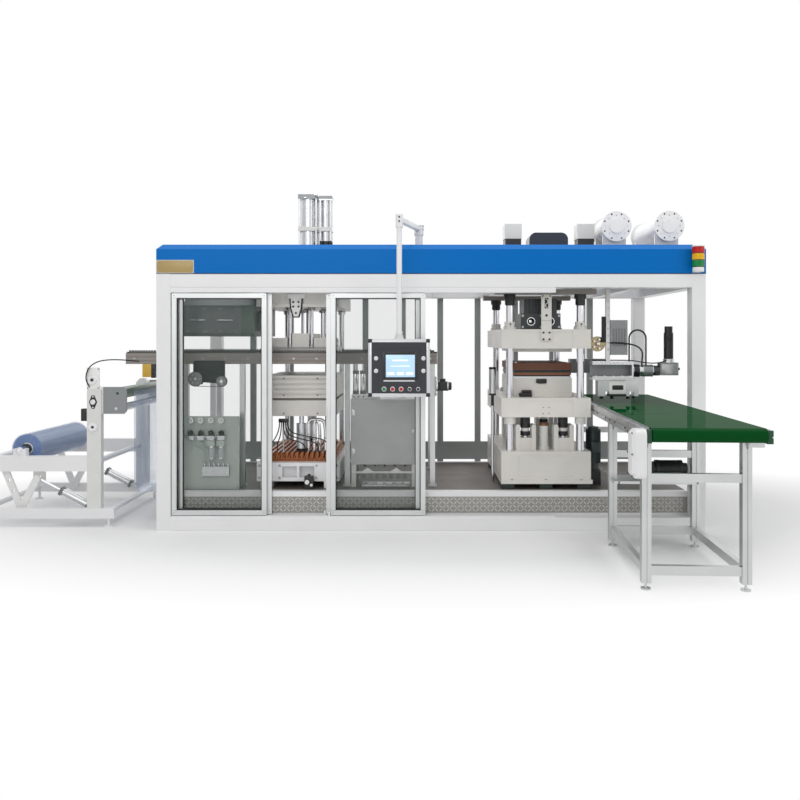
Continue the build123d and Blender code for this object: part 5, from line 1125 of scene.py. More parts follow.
class MACHINE_OT_forming(bpy.types.Operator):
    """Bracket, bushes, clamps, fins, pipes and hoses of the forming station"""

    bl_idname = "machine.forming"
    bl_label = "Forming Station"

    def execute(self, context):
        with Group("clamp_bracket", ROOT, "white paint") as bm:
            add_block(bm, (-1.238, -0.702, 1.957), (-1.088, -0.683, 1.996), 0.003)
            corners = ((-1.212, 1.96), (-1.118, 1.96), (-1.126, 1.87), (-1.146, 1.8), (-1.184, 1.8),
                       (-1.204, 1.87))
            add_plate(bm, [(x, -0.6995, z) for x, z in corners], (0, 0.012, 0), 0.002)
        with Group("clamp_bracket_back", ROOT, "black paint") as bm:
            corners = ((-1.225, 1.955), (-1.105, 1.955), (-1.112, 1.865), (-1.135, 1.79), (-1.195, 1.79),
                       (-1.218, 1.865))
            add_plate(bm, [(x, -0.689, z) for x, z in corners], (0, 0.008, 0), 0.002)
        with Group("clamp_bolts", ROOT, "black paint") as bm:
            for x, z in ((-1.188, 1.925), (-1.142, 1.925), (-1.188, 1.885), (-1.142, 1.885), (-1.165, 1.83)):
                add_screw(bm, (x, -0.6985, z), FRONT, 0.009, 0.008)
        with Group("guide_flanges", "upper_forming_table", "brushed steel") as bm:
            for x, y in GUIDE_RODS:
                add_ring(bm, 0.03, 0.0152, (x, y, 1.529), UP, 0.016, 28)
                add_ring(bm, 0.024, 0.0152, (x, y, 1.545), UP, 0.018, 28)
                for dx, dy in circle(4, 0.02597, math.pi / 4):
                    add_screw(bm, (x + dx, y + dy, 1.545), UP, 0.0028, 0.003)
        with Group("crosshead_bushes", ROOT, "brushed steel") as bm:
            for x, y in GUIDE_RODS:
                add_ring(bm, 0.034, 0.0162, (x, y, 1.886), DOWN, 0.022, 28)
            for x, y in ((-1.129, -0.125), (-0.968, -0.125)):
                add_ring(bm, 0.046, 0.027, (x, y, 1.886), DOWN, 0.012, 28)
        with Group("column_nuts", ROOT, "black paint") as bm:
            for x, y in FORMING_COLUMNS:
                add_rod(bm, 0.036, (x, y, 2.0035), (x, y, 2.028), 6, bevel=0.003)
                add_rod(bm, 0.042, (x, y, 1.874), (x, y, 1.8865), 6, bevel=0.002)
        with Group("table_clamps", "upper_forming_table", "black paint") as bm:
            for x in steps(-1.42, 0.108, 6):
                add_block(bm, (x - 0.014, -0.532, 1.456), (x + 0.014, -0.512, 1.484), 0.002)
                add_screw(bm, (x, -0.532, 1.47), FRONT, 0.006, 0.005)
            for place in grid((-1.48, -0.82), -0.52, (1.55, 1.59)):
                add_screw(bm, place, FRONT, 0.006, 0.005)
        add_screws("lower_table_screws", "lower_forming_table", "black paint",
                   grid((-1.44, -1.3, -1.0, -0.86), -0.52, (1.105, 1.255, 0.945)), FRONT, 0.006, 0.004)
        with Group("cooling_coils", ROOT, "cooling board") as bm:
            corners = ((0, 0.533), (0.006, 0.533), (0.024, 0.601), (0.018, 0.601))
            for x in steps(-1.452, 0.0225, 27):
                add_plate(bm, [(x + dx, -0.598, z) for dx, z in corners], (0, 0.02, 0), 0.0012)
        with Group("base_valve_box", ROOT, "black paint") as bm:
            add_block(bm, (-1.087, -0.748, 0.309), (-1.007, -0.69, 0.425), 0.006)
            add_disc(bm, 0.012, (-1.047, -0.72, 0.423), UP, 0.018, 20)
        with Group("base_valve_fitting", ROOT, "white paint") as bm:
            add_disc(bm, 0.019, (-1.062, -0.746, 0.375), FRONT, 0.012, 24)
            add_disc(bm, 0.012, (-1.025, -0.746, 0.35), FRONT, 0.01, 20)
        add_bolts("base_bolts", ROOT, "brushed steel",
                  grid((-1.485, -1.31, -0.99, -0.815), -0.675, (0.4, 0.505)), FRONT, 0.008, 0.007)
        loop = ((0, 0.604), (0, 0.7), (0, 0.8), (0, 0.885), (0.085, 0.885), (0.1, 0.8), (0.1, 0.7),
                (0.1, 0.604))
        pipe("table_pipes", ROOT, [[(x + dx, -0.47, z) for dx, z in loop] for x in (-1.085, -1.035)], 0.03,
             "polished steel")
        with Group("pipe_flanges", ROOT, "brushed steel") as bm:
            for x in (-1.085, -1.035, -0.985, -0.935):
                add_ring(bm, 0.022, 0.0155, (x, -0.47, 0.604), UP, 0.01, 24)
        with Group("hose_stand", ROOT, "brushed steel") as bm:
            add_rod(bm, 0.009, (-1.298, -0.545, 0.604), (-1.298, -0.545, 0.88), 16)
            add_disc(bm, 0.018, (-1.298, -0.545, 0.604), UP, 0.008, 20)
        with Group("hose_manifold", ROOT, "black paint") as bm:
            add_block(bm, (-1.338, -0.572, 0.868), (-1.252, -0.53, 0.9), 0.003)
        for k, (start, points, length) in enumerate(FORMING_HOSES):
            hose(f"forming_hose_{k + 1}", [(x, -0.557, z) for x, z in (start, *points)], 0.01)
        return {"FINISHED"}


# Hoses of the forming station: start, points down to the plate, length
FORMING_HOSES = (
    ((-1.33, 0.869), ((-1.332, 0.82), (-1.36, 0.74), (-1.405, 0.68), (-1.405, 0.604)), 0.28),
    ((-1.314, 0.869), ((-1.315, 0.82), (-1.325, 0.74), (-1.352, 0.68), (-1.352, 0.604)), 0.269),
    ((-1.296, 0.869), ((-1.295, 0.81), (-1.278, 0.745), (-1.225, 0.71), (-1.155, 0.7), (-1.105, 0.665),
        (-1.1, 0.604)), 0.372),
    ((-1.28, 0.869), ((-1.278, 0.82), (-1.25, 0.755), (-1.14, 0.72), (-1.03, 0.7), (-0.988, 0.66),
        (-0.985, 0.604)), 0.449),
    ((-1.263, 0.869), ((-1.26, 0.83), (-1.225, 0.775), (-1.09, 0.745), (-0.94, 0.72), (-0.898, 0.67),
        (-0.895, 0.604)), 0.513),
)


class MACHINE_OT_air_panel(bpy.types.Operator):
    """Gauges, knobs, valves and filter bowls of the air panel"""

    bl_idname = "machine.air_panel"
    bl_label = "Air Panel"

    def execute(self, context):
        gauges = steps(-2.062, 0.088, 4)
        with Group("gauge_dials", ROOT, "dial white") as bm:
            for x in gauges:
                add_disc(bm, 0.0195, (x, -0.7595, 0.905), FRONT, 0.0012, 28)
        with Group("gauge_bezels", ROOT, "polished steel") as bm:
            for x in gauges:
                add_ring(bm, 0.0255, 0.0188, (x, -0.746, 0.905), FRONT, 0.018, 32)
        with Group("gauge_marks", ROOT, "black paint") as bm:
            for k, x in enumerate(gauges):
                for degrees in steps(-135, 33.75, 9):
                    mark = add_block(bm, (-0.0006, -0.0003, 0.0125), (0.0006, 0.0003, 0.0165))
                    turn_about(bm, mark, degrees, "Y")
                    bmesh.ops.translate(bm, vec=(x, -0.7609, 0.905), verts=mark)
                needle = add_block(bm, (-0.0009, -0.0004, -0.004), (0.0009, 0.0004, 0.0135))
                turn_about(bm, needle, -70 + 45 * k, "Y")
                bmesh.ops.translate(bm, vec=(x, -0.7614, 0.905), verts=needle)
        with Group("regulator_knobs", ROOT, "black rubber") as bm:
            for x in gauges:
                add_disc(bm, 0.0208, (x, -0.74, 0.8), FRONT, 0.031, 32)
                for dx, dz in circle(18, 0.0208):
                    add_rod(bm, 0.0016, (x + dx, -0.742, 0.8 + dz), (x + dx, -0.7695, 0.8 + dz), 6)
        with Group("valve_fittings", ROOT, "polished steel") as bm:
            for x, side in grid(gauges, (-1, 1)):
                start, end = x + side * 0.028, x + side * 0.042
                add_rod(bm, 0.009, (start, -0.742, 0.76), (end, -0.742, 0.76), 6, 0.001)
            for x in steps(-1.945, 0.04, 6):
                add_rod(bm, 0.008, (x, -0.742, 0.509), (x, -0.742, 0.53), 6, 0.001)
                add_disc(bm, 0.006, (x, -0.742, 0.529), UP, 0.012, 14)
                add_screw(bm, (x, -0.7595, 0.47), FRONT, 0.006, 0.004)
        with Group("bowl_bands", ROOT, "polished steel") as bm:
            for x in (-1.88, -1.8):
                add_ring(bm, 0.0262, 0.0235, (x, -0.7475, 0.672), UP, 0.016, 28)
                add_ring(bm, 0.0262, 0.0235, (x, -0.7475, 0.578), UP, 0.008, 28)
                for dx, dy in circle(6, 0.0248):
                    add_rod(bm, 0.0018, (x + dx, -0.7475 + dy, 0.58), (x + dx, -0.7475 + dy, 0.675), 6)
                add_disc(bm, 0.016, (x, -0.7475, 0.734), UP, 0.024, 24)
        add_screws("air_panel_screws", ROOT, "brushed steel",
                   grid((-2.13, -1.665), -0.72, (0.33, 0.63, 0.925)), FRONT, 0.006, 0.004)
        pipe("air_pipes", ROOT, [
            ((x, -0.742, 0.74), (x, -0.748, 0.7), (x + bend, -0.75, 0.66), (x + bend, -0.748, 0.6),
             (x + bend, -0.742, 0.541))
            for x, bend in ((-2.062, 0.117), (-1.974, 0.069))], 0.008, "clear hose")
        return {"FINISHED"}


class MACHINE_OT_cabinet(bpy.types.Operator):
    """Hinges, lock, glands and the valves round the control cabinet"""

    bl_idname = "machine.cabinet"
    bl_label = "Cabinet"

    def execute(self, context):
        face = -0.6255
        with Group("cabinet_hinges", ROOT, "polished steel") as bm:
            for z in (0.62, 0.96):
                add_rod(bm, 0.007, (-0.684, face - 0.004, z - 0.03), (-0.684, face - 0.004, z + 0.03), 14,
                        0.001)
                add_block(bm, (-0.684, face - 0.005, z - 0.026), (-0.66, face + 0.001, z + 0.026), 0.001)
        with Group("cabinet_lock", ROOT, "polished steel") as bm:
            add_disc(bm, 0.014, (-0.15, face + 0.001, 0.8), FRONT, 0.01, 28)
            add_block(bm, (-0.154, face - 0.014, 0.786), (-0.146, face - 0.008, 0.814), 0.001)
        with Group("cabinet_glands", ROOT, "black paint") as bm:
            for x in steps(-0.58, 0.09, 5):
                add_rod(bm, 0.014, (x, -0.52, 0.509), (x, -0.52, 0.494), 6, 0.001)
                add_disc(bm, 0.01, (x, -0.52, 0.495), DOWN, 0.02, 16)
        with Group("cabinet_rail", ROOT, "white paint") as bm:
            add_block(bm, (-0.69, -0.628, 0.43), (-0.123, -0.612, 0.446), 0.002)
            for x in (-0.55, -0.3):
                corners = [(x - 0.05, -0.626, 0.446), (x + 0.05, -0.626, 0.446), (x, -0.626, 0.478)]
                add_plate(bm, corners, (0, 0.012, 0), 0.001)
        with Group("cabinet_rail_valves", ROOT, "grey paint") as bm:
            for x in steps(-0.6, 0.06, 7):
                add_block(bm, (x, -0.634, 0.386), (x + 0.036, -0.602, 0.431), 0.003)
        with Group("cabinet_floor_tray", ROOT, "brushed steel") as bm:
            add_block(bm, (-0.6, -0.66, 0.309), (-0.18, -0.5, 0.336), 0.003)
            for x in steps(-0.56, 0.08, 5):
                add_disc(bm, 0.014, (x, -0.63, 0.334), UP, 0.02, 16)
        with Group("valve_bar", ROOT, "white paint") as bm:
            add_block(bm, (-0.692, -0.6, 1.0775), (-0.44, -0.54, 1.122), 0.003)
        add_screws("valve_bar_screws", ROOT, "black paint",
                   grid(steps(-0.67, 0.042, 6), -0.6, 1.1), FRONT, 0.006, 0.003)
        with Group("support_cylinders", ROOT, "polished steel") as bm:
            for x in (-0.655, -0.592, -0.5):
                add_rod(bm, 0.024, (x, -0.566, 1.15), (x, -0.566, 1.3), 28, 0.001)
                add_rod(bm, 0.008, (x, -0.566, 1.32), (x, -0.566, 1.386), 16)
        with Group("support_cylinder_ends", ROOT, "grey paint") as bm:
            for x in (-0.655, -0.592, -0.5):
                for z in ((1.12, 1.152), (1.298, 1.328)):
                    add_block(bm, (x - 0.026, -0.592, z[0]), (x + 0.026, -0.54, z[1]), 0.003)
                add_rod(bm, 0.007, (x, -0.59, 1.136), (x, -0.606, 1.136), 6, 0.001)
        return {"FINISHED"}


class MACHINE_OT_panel(bpy.types.Operator):
    """Glossy face, screen, buttons and corner blocks of the operator panel"""

    bl_idname = "machine.panel"
    bl_label = "Operator Panel"

    def execute(self, context):
        with Group("panel_face", "panel", "dark screen") as bm:
            add_border(bm, (-0.482, -0.042), (1.169, 1.579), (-1.2186, -1.216), 0.052)
            add_border(bm, (-0.431, -0.093), (1.22, 1.528), (-1.2186, -1.216), 0.045)
        with Group("panel_rim", "panel", "profile aluminium") as bm:
            add_border(bm, (-0.492, -0.032), (1.159, 1.589), (-1.2212, -1.2165), 0.01, 0.001)
        with Group("panel_corners", "panel", "black rubber") as bm:
            for x, z in grid((-0.509, -0.047), (1.1425, 1.5745)):
                add_block(bm, (x, -1.2225, z), (x + 0.032, -1.15, z + 0.0315), 0.004)
        with Group("screen_frame", "panel", "black paint") as bm:
            add_border(bm, (-0.392, -0.112), (1.277, 1.503), (-1.2262, -1.218), 0.024, 0.0015)
        with Group("screen", "panel", "screen light") as bm:
            add_block(bm, (-0.369, -1.2246, 1.3), (-0.135, -1.22, 1.48), 0.001)
        with Group("screen_fields", "panel", "screen fields") as bm:
            for x, z in (((-0.315, -0.19), (1.428, 1.44)), ((-0.33, -0.175), (1.385, 1.392)),
                         ((-0.355, -0.3), (1.318, 1.34)), ((-0.28, -0.225), (1.318, 1.34)),
                         ((-0.205, -0.15), (1.318, 1.34))):
                add_block(bm, (x[0], -1.2249, z[0]), (x[1], -1.2243, z[1]))
        looks = ("green plastic", "red plastic", "red plastic", "black paint", "black paint")
        buttons = list(zip(looks, steps(-0.382, 0.068, 5), (0.014, 0.014, 0.014, 0.011, 0.011)))
        switches = list(grid((-0.446, -0.068), (1.35, 1.45)))
        with Group("button_rings", "panel", "polished steel") as bm:
            for look, x, radius in buttons:
                add_ring(bm, radius + 0.005, radius - 0.002, (x, -1.2165, 1.205), FRONT, 0.009, 28)
            for x, z in switches:
                add_ring(bm, 0.0165, 0.012, (x, -1.2165, z), FRONT, 0.012, 28)
                add_disc(bm, 0.0138, (x, -1.222, z), FRONT, 0.0145, 28)
        for finish in sorted(set(looks)):
            with Group("buttons_" + finish.split()[0], "panel", finish) as bm:
                for look, x, radius in buttons:
                    if look == finish:
                        add_disc(bm, radius + 0.0009, (x, -1.218, 1.205), FRONT, 0.0225, 28)
                for x, z in switches if finish == "black paint" else ():
                    add_block(bm, (x - 0.0015, -1.2378, z - 0.006), (x + 0.0015, -1.2362, z + 0.006))
        rear = box("panel_case")[1][1]
        add_screws("panel_back_screws", "panel", "brushed steel",
                   grid((-0.47, -0.054), rear - 0.0005, (1.18, 1.57)), BACK, 0.005, 0.0004)
        return {"FINISHED"}


class MACHINE_OT_arm(bpy.types.Operator):
    """Rings, screws and pole collars of the panel arm"""

    bl_idname = "machine.arm"
    bl_label = "Panel Arm"

    def execute(self, context):
        with Group("arm_pivot_ring", "arm", "brushed steel") as bm:
            add_ring(bm, 0.0445, 0.0415, (-0.1, -0.625, 2.555), UP, 0.012, 36)
            add_ring(bm, 0.0445, 0.0415, (-0.1, -0.625, 2.585), UP, 0.012, 36)
        with Group("arm_clamp_screws", "arm", "black paint") as bm:
            for z in (2.553, 2.587):
                add_screw(bm, (-0.262, -1.185, z), FRONT, 0.007, 0.007)
        with Group("pole_collars", "arm", "frame paint") as bm:
            add_ring(bm, 0.03, 0.0215, (-0.262, -1.155, 2.505), UP, 0.026, 36)
            add_ring(bm, 0.028, 0.0215, (-0.262, -1.155, 1.645), UP, 0.02, 36)
        return {"FINISHED"}


class MACHINE_OT_puller(bpy.types.Operator):
    """Motor at the end of the film rails"""

    bl_idname = "machine.puller"
    bl_label = "Puller Motor"

    def execute(self, context):
        with Group("puller_bracket", ROOT, "brushed steel") as bm:
            add_block(bm, (0.0415, -0.615, 1.105), (0.0525, -0.515, 1.275), 0.002)
            for place in grid(0.0525, (-0.6, -0.53), (1.12, 1.26)):
                add_bolt(bm, place, RIGHT, 0.006, 0.006)
        with Group("puller_flange", ROOT, "profile aluminium") as bm:
            add_disc(bm, 0.046, (0.052, -0.565, 1.19), RIGHT, 0.016, 36)
            add_disc(bm, 0.044, (0.15, -0.565, 1.19), RIGHT, 0.01, 36)
        with Group("puller_motor", ROOT, "black paint") as bm:
            add_block(bm, (0.066, -0.605, 1.15), (0.152, -0.525, 1.23), 0.008, 3)
            add_disc(bm, 0.036, (0.158, -0.565, 1.19), RIGHT, 0.03, 36)
            add_block(bm, (0.085, -0.59, 1.226), (0.135, -0.545, 1.256), 0.004)
        return {"FINISHED"}


class MACHINE_OT_press(bpy.types.Operator):
    """Screws, holes, connectors, rams and motor ribs of the cutting press"""

    bl_idname = "machine.press"
    bl_label = "Cutting Press"

    def execute(self, context):
        with Group("front_plate_screws", ROOT, "black paint") as bm:
            for place in grid((0.971, 1.023), -0.7385, (1.603, 1.66)):
                add_screw(bm, place, FRONT, 0.0085, 0.009)
            for x in (0.966, 1.028):
                add_screw(bm, (x, -0.7385, 1.975), FRONT, 0.006, 0.006)
        # The black slot and round hole on the front plate are painted shade; the thin black line is a seam.
        with Group("front_plate_slot_shade", ROOT, "black rubber") as bm:
            add_block(bm, (0.982, -0.7398, 1.868), (1.012, -0.738, 1.958), 0.0006)
            add_disc(bm, 0.011, (0.997, -0.738, 1.808), FRONT, 0.0018, 24)
            add_block(bm, (0.955, -0.7396, 1.7635), (1.039, -0.738, 1.765))
        wire = ((0.986, -0.74, 1.95), (1.008, -0.742, 1.945), (1.008, -0.742, 1.915), (0.988, -0.742, 1.905),
                (0.988, -0.742, 1.88), (1.006, -0.74, 1.874))
        pipe("front_plate_wires", ROOT, [wire], 0.006, "white paint")
        with Group("collar_screws", ROOT, "black paint") as bm:
            for x, y in PRESS_COLUMNS:
                face, axis = (y - 0.046, FRONT) if y < 0 else (y + 0.046, BACK)
                add_screw(bm, (x, face, 1.733), axis, 0.007, 0.008)
                for dx, dy in circle(6, 0.0505, math.pi / 6):
                    add_screw(bm, (x + dx, y + dy, 1.7105), UP, 0.004, 0.004)
        # Black rings stand for the grooves in the columns: painted shade.
        with Group("column_groove_shade", ROOT, "black rubber") as bm:
            for x, y in PRESS_COLUMNS:
                add_ring(bm, 0.0335, 0.0315, (x, y, 1.895), UP, 0.008, 32)
                add_ring(bm, 0.0425, 0.04, (x, y, 1.925), UP, 0.004, 32)
        with Group("gear_bearings", ROOT, "polished steel") as bm:
            dome = ((0, 0.03), (0.014, 0.026), (0.022, 0.016), (0.026, 0), (0, 0))
            for x in (0.89, 1.06):
                add_turned(bm, dome, (x, -0.523, 1.76), FRONT, 28)
                add_ring(bm, 0.0375, 0.03, (x, -0.566, 1.76), FRONT, 0.005, 32)
        add_bolts("gearbox_bolts", ROOT, "brushed steel",
                  grid((0.815, 0.975, 1.135), -0.575, (1.71, 1.81)), FRONT, 0.007, 0.006)
        # Black discs stand for the holes in the platen: painted shade of the holes.
        with Group("lower_platen_hole_shade", "press_table", "black rubber") as bm:
            for place in grid((0.972, 1.022), -0.7192, (0.962, 1.014)):
                add_disc(bm, 0.0045, place, FRONT, 0.0012, 14)
        with Group("die_connector", "press_table", "black paint") as bm:
            add_block(bm, (0.941, -0.536, 1.2135), (1.033, -0.515, 1.2515), 0.005)
            for k in range(4):
                add_screw(bm, (0.955 + 0.0215 * k, -0.536, 1.232), FRONT, 0.005, 0.003)
        with Group("die_box", "press_table", "black rubber") as bm:
            add_block(bm, (0.79, -0.57, 1.0935), (0.898, -0.515, 1.128), 0.006)
            add_block(bm, (0.812, -0.56, 1.126), (0.898, -0.517, 1.152), 0.005)
        with Group("die_clamps", "press_table", "brushed steel") as bm:
            for x, y in grid((0.726, 1.268), (-0.46, 0.27)):
                add_block(bm, (x - 0.02, y - 0.02, 1.0935), (x + 0.012, y + 0.02, 1.118), 0.003)
                add_bolt(bm, (x - 0.004, y, 1.118), UP, sizes().bolt_head, 0.011)
        with Group("die_pins", "press_table", "polished steel") as bm:
            for place in grid((0.765, 1.229), (-0.49, 0.3), 1.3915):
                add_disc(bm, 0.01, place, UP, 0.01, 20)
        with Group("sleeve_screws", "press_table", "black paint") as bm:
            for x, y in PRESS_COLUMNS:
                for dx, dy in circle(6, 0.04, math.pi / 6):
                    add_screw(bm, (x + dx, y + dy, 0.8685), DOWN, 0.0045, 0.004)
        with Group("ram_pins", ROOT, "black paint") as bm:
            for x, y in PRESS_RAMS:
                face, axis = (y - 0.0295, FRONT) if y < 0 else (y + 0.0295, BACK)
                add_disc(bm, 0.021, (x, face, 0.661), axis, 0.002, 28)
                for side in (-0.068, 0.068):
                    add_screw(bm, (x + side, face, 0.82), axis, 0.006, 0.005)
        add_bolts("base_pad_bolts", ROOT, "brushed steel",
                  grid((0.7, 0.997, 1.3), -0.726, 0.3905), UP, 0.008, 0.008)
        with Group("pump_motor_ribs", ROOT, "motor green") as bm:
            for degrees in steps(0, 360 / 26, 26):
                rib = add_block(bm, (0.0565, -0.0014, 0.5), (0.0655, 0.0014, 0.795))
                turn_about(bm, rib, degrees, "Z")
                bmesh.ops.translate(bm, vec=(1.462, -0.46, 0), verts=rib)
            add_block(bm, (1.425, -0.57, 0.6), (1.499, -0.515, 0.7), 0.006)
            add_ring(bm, 0.0645, 0.05, (1.462, -0.46, 0.785), UP, 0.014, 36)
        with Group("pump_motor_bolts", ROOT, "brushed steel") as bm:
            for place in grid((1.375, 1.549), (-0.547, -0.373), 0.4295):
                add_bolt(bm, place, UP, sizes().bolt_head, 0.009)
            add_disc(bm, 0.012, (1.462, -0.46, 0.819), UP, 0.01, 20)
        return {"FINISHED"}


class MACHINE_OT_stacker(bpy.types.Operator):
    """Bolts, belt, motor rings, suction cups and hoses of the stacking unit"""

    bl_idname = "machine.stacker"
    bl_label = "Stacker"

    def execute(self, context):
        with Group("beam_bolts", ROOT, "polished steel") as bm:
            for x in steps(1.425, 0.035, 10):
                add_bolt(bm, (x, -0.705, 1.394), FRONT, 0.0065, 0.009)
            for x in steps(1.43, 0.075, 5):
                add_bolt(bm, (x, -0.705, 1.281), FRONT, 0.005, 0.006)
        with Group("lift_belt", ROOT, "black rubber") as bm:
            add_block(bm, (1.482, -0.69, 1.575), (1.524, -0.684, 1.8), 0.001)
            for z in steps(1.58, 0.013, 17):
                add_block(bm, (1.484, -0.6935, z), (1.5195, -0.6895, z + 0.0065), 0.0008)
        with Group("pulley_nut", ROOT, "polished steel") as bm:
            add_rod(bm, 0.013, (1.455, -0.69, 1.562), (1.455, -0.699, 1.562), 6, 0.001)
            for dx, dz in circle(5, 0.04):
                add_disc(bm, 0.009, (1.455 + dx, -0.6795, 1.562 + dz), FRONT, 0.0015, 16)
        with Group("motor_rings", ROOT, "polished steel") as bm:
            for x, radius in ((1.757, 0.0565), (1.812, 0.0565), (1.842, 0.0535), (1.928, 0.0535)):
                add_ring(bm, radius, radius - 0.008, (x, -0.65, 1.33), RIGHT, 0.005, 40)
            add_ring(bm, 0.0475, 0.0395, (2.075, -0.65, 1.4235), UP, 0.008, 40)
            for dy, dz in circle(4, 0.047, math.pi / 4):
                add_bolt(bm, (1.8155, -0.65 + dy, 1.33 + dz), RIGHT, 0.005, 0.006)
        with Group("lift_motor_rings", ROOT, "black rubber") as bm:
            for z in steps(1.45, 0.021, 9):
                add_ring(bm, 0.0412, 0.0395, (2.075, -0.65, z), UP, 0.004, 32)
            add_block(bm, (2.055, -0.698, 1.585), (2.095, -0.686, 1.645), 0.003)
        with Group("end_box_cover", ROOT, "brushed steel") as bm:
            add_block(bm, (2.0, -0.6985, 1.302), (2.14, -0.694, 1.388), 0.002)
            for place in grid((2.01, 2.13), -0.6985, (1.312, 1.378)):
                add_screw(bm, place, FRONT, 0.005, 0.003)
        with Group("end_box_glands", ROOT, "black paint") as bm:
            for y in (-0.67, -0.63):
                add_rod(bm, 0.012, (2.149, y, 1.345), (2.165, y, 1.345), 6, 0.001)
            add_block(bm, (1.952, -0.69, 1.29), (1.99, -0.612, 1.31), 0.003)
        add_screws("head_cover_screws", ROOT, "brushed steel",
                   grid((1.572, 1.693), -0.69, (1.485, 1.62, 1.752)), FRONT, 0.005, 0.003)
        with Group("gripper_block", ROOT, "white paint") as bm:
            add_block(bm, (1.548, -0.702, 1.128), (1.692, -0.615, 1.2535), 0.005)
        with Group("gripper_slot_shade_and_bar", ROOT, "black rubber") as bm:
            # The black strip on the front of the gripper block is painted shade of its slot.
            add_block(bm, (1.572, -0.7035, 1.165), (1.668, -0.7, 1.205), 0.0012)
            add_block(bm, (1.545, -0.699, 1.108), (1.695, -0.618, 1.13), 0.003)
        with Group("suction_cups", ROOT, "black rubber") as bm:
            cup = ((0, 0), (0.007, 0), (0.007, 0.008), (0.012, 0.012), (0.009, 0.016), (0.016, 0.028),
                   (0, 0.028))
            for place in grid((1.49, 1.58, 1.72, 1.77), (-0.675, -0.635), 1.112):
                add_turned(bm, cup, place, DOWN, 20)
        for name, points, length, diameter, lay in STACKER_HOSES:
            hose(name, points, diameter)
        return {"FINISHED"}


# Hoses of the stacking unit: name, points, length, diameter, lay
STACKER_HOSES = (
    ("stacker_loop", (
        (1.728, -0.665, 1.409), (1.728, -0.665, 1.5), (1.728, -0.665, 1.58), (1.728, -0.665, 1.64),
        (1.771, -0.665, 1.683), (1.831, -0.665, 1.683), (1.874, -0.665, 1.64), (1.874, -0.665, 1.58),
        (1.874, -0.665, 1.48), (1.874, -0.665, 1.38)), 0.66, 0.015, "loose"),
    ("stacker_lead", (
        (1.556, -0.7, 1.572), (1.6, -0.705, 1.574), (1.7, -0.708, 1.566), (1.79, -0.705, 1.545),
        (1.836, -0.695, 1.5), (1.838, -0.68, 1.44), (1.838, -0.665, 1.378)), 0.423, 0.014, "hanging"),
    ("beam_lead", (
        (1.402, -0.685, 1.421), (1.5, -0.685, 1.421), (1.68, -0.685, 1.421), (1.765, -0.688, 1.418),
        (1.85, -0.688, 1.4), (1.94, -0.688, 1.394), (2.01, -0.686, 1.404), (2.05, -0.684, 1.424),
        (2.066, -0.682, 1.448)), 0.682, 0.01, "loose"),
)


# The delivery conveyor stands turned by this angle in plan
SLOPE = math.radians(3)
BELT_CORNER = (1.3, -2.625)


def on_belt(u, v, z):
    """A place on the delivery conveyor: across, along and up."""
    cosine, sine = math.cos(SLOPE), math.sin(SLOPE)
    return (BELT_CORNER[0] + u * cosine + v * sine, BELT_CORNER[1] - u * sine + v * cosine, z)


BELT_RIGHT = (math.cos(SLOPE), -math.sin(SLOPE), 0)
BELT_LEFT = (-math.cos(SLOPE), math.sin(SLOPE), 0)
BELT_FRONT = (-math.sin(SLOPE), -math.cos(SLOPE), 0)


class MACHINE_OT_belt(bpy.types.Operator):
    """Gussets, screws and seam of the delivery conveyor"""

    bl_idname = "machine.belt"
    bl_label = "Delivery Conveyor"

    def execute(self, context):
        thick = Vector(BELT_RIGHT) * 0.012
        along = -Vector(BELT_FRONT)
        with Group("belt_gussets", ROOT, "brushed steel") as bm:
            for v, u, sign in grid((0.18, 1.24), (0.029, 0.659), (-1, 1)):
                corner = Vector(on_belt(u, v, 0.955)) + along * (0.024 * sign)
                corners = [corner, corner + along * (0.045 * sign), corner - Vector((0, 0, 0.05))]
                add_plate(bm, corners, thick, 0.001)
        with Group("belt_frame_screws", ROOT, "black paint") as bm:
            for v in (0.1, 0.26, 0.62, 0.98, 1.16, 1.32, 1.7, 2.05):
                add_screw(bm, on_belt(-0.0005, v, 0.985), BELT_LEFT, 0.006, 0.005)
                add_screw(bm, on_belt(0.7005, v, 0.985), BELT_RIGHT, 0.006, 0.005)
        places = [on_belt(*place) for place in grid(-0.0905, (-0.002, 0.122), (0.755, 0.89, 1.022))]
        add_screws("guard_screws", ROOT, "black paint", places, BELT_LEFT, 0.006, 0.004)
        with Group("belt_seam", ROOT, "roller green") as bm:
            for v in (0.985, 0.997):
                corners = ((0.045, v), (0.655, v), (0.655, v + 0.003), (0.045, v + 0.003))
                add_plate(bm, [on_belt(*corner, 1.0502) for corner in corners], (0, 0, 0.0004))
        return {"FINISHED"}


class MACHINE_OT_pump(bpy.types.Operator):
    """Ribs and screws of the small vacuum pump under the belt"""

    bl_idname = "machine.pump"
    bl_label = "Vacuum Pump"

    def execute(self, context):
        with Group("pump_ribs", ROOT, "pump black") as bm:
            for u in steps(0.392, 0.0105, 14):
                add_ring(bm, 0.0612, 0.054, on_belt(u, 1.24, 0.607), BELT_RIGHT, 0.0035, 36)
            add_disc(bm, 0.03, on_belt(0.54, 1.24, 0.607), BELT_RIGHT, 0.014, 28)
        with Group("pump_screws", ROOT, "polished steel") as bm:
            for ahead, above in circle(6, 0.048):
                place = Vector(on_belt(0.372, 1.24, 0.607 + above)) + Vector(BELT_FRONT) * ahead
                add_screw(bm, place, BELT_LEFT, 0.005, 0.008)
        return {"FINISHED"}


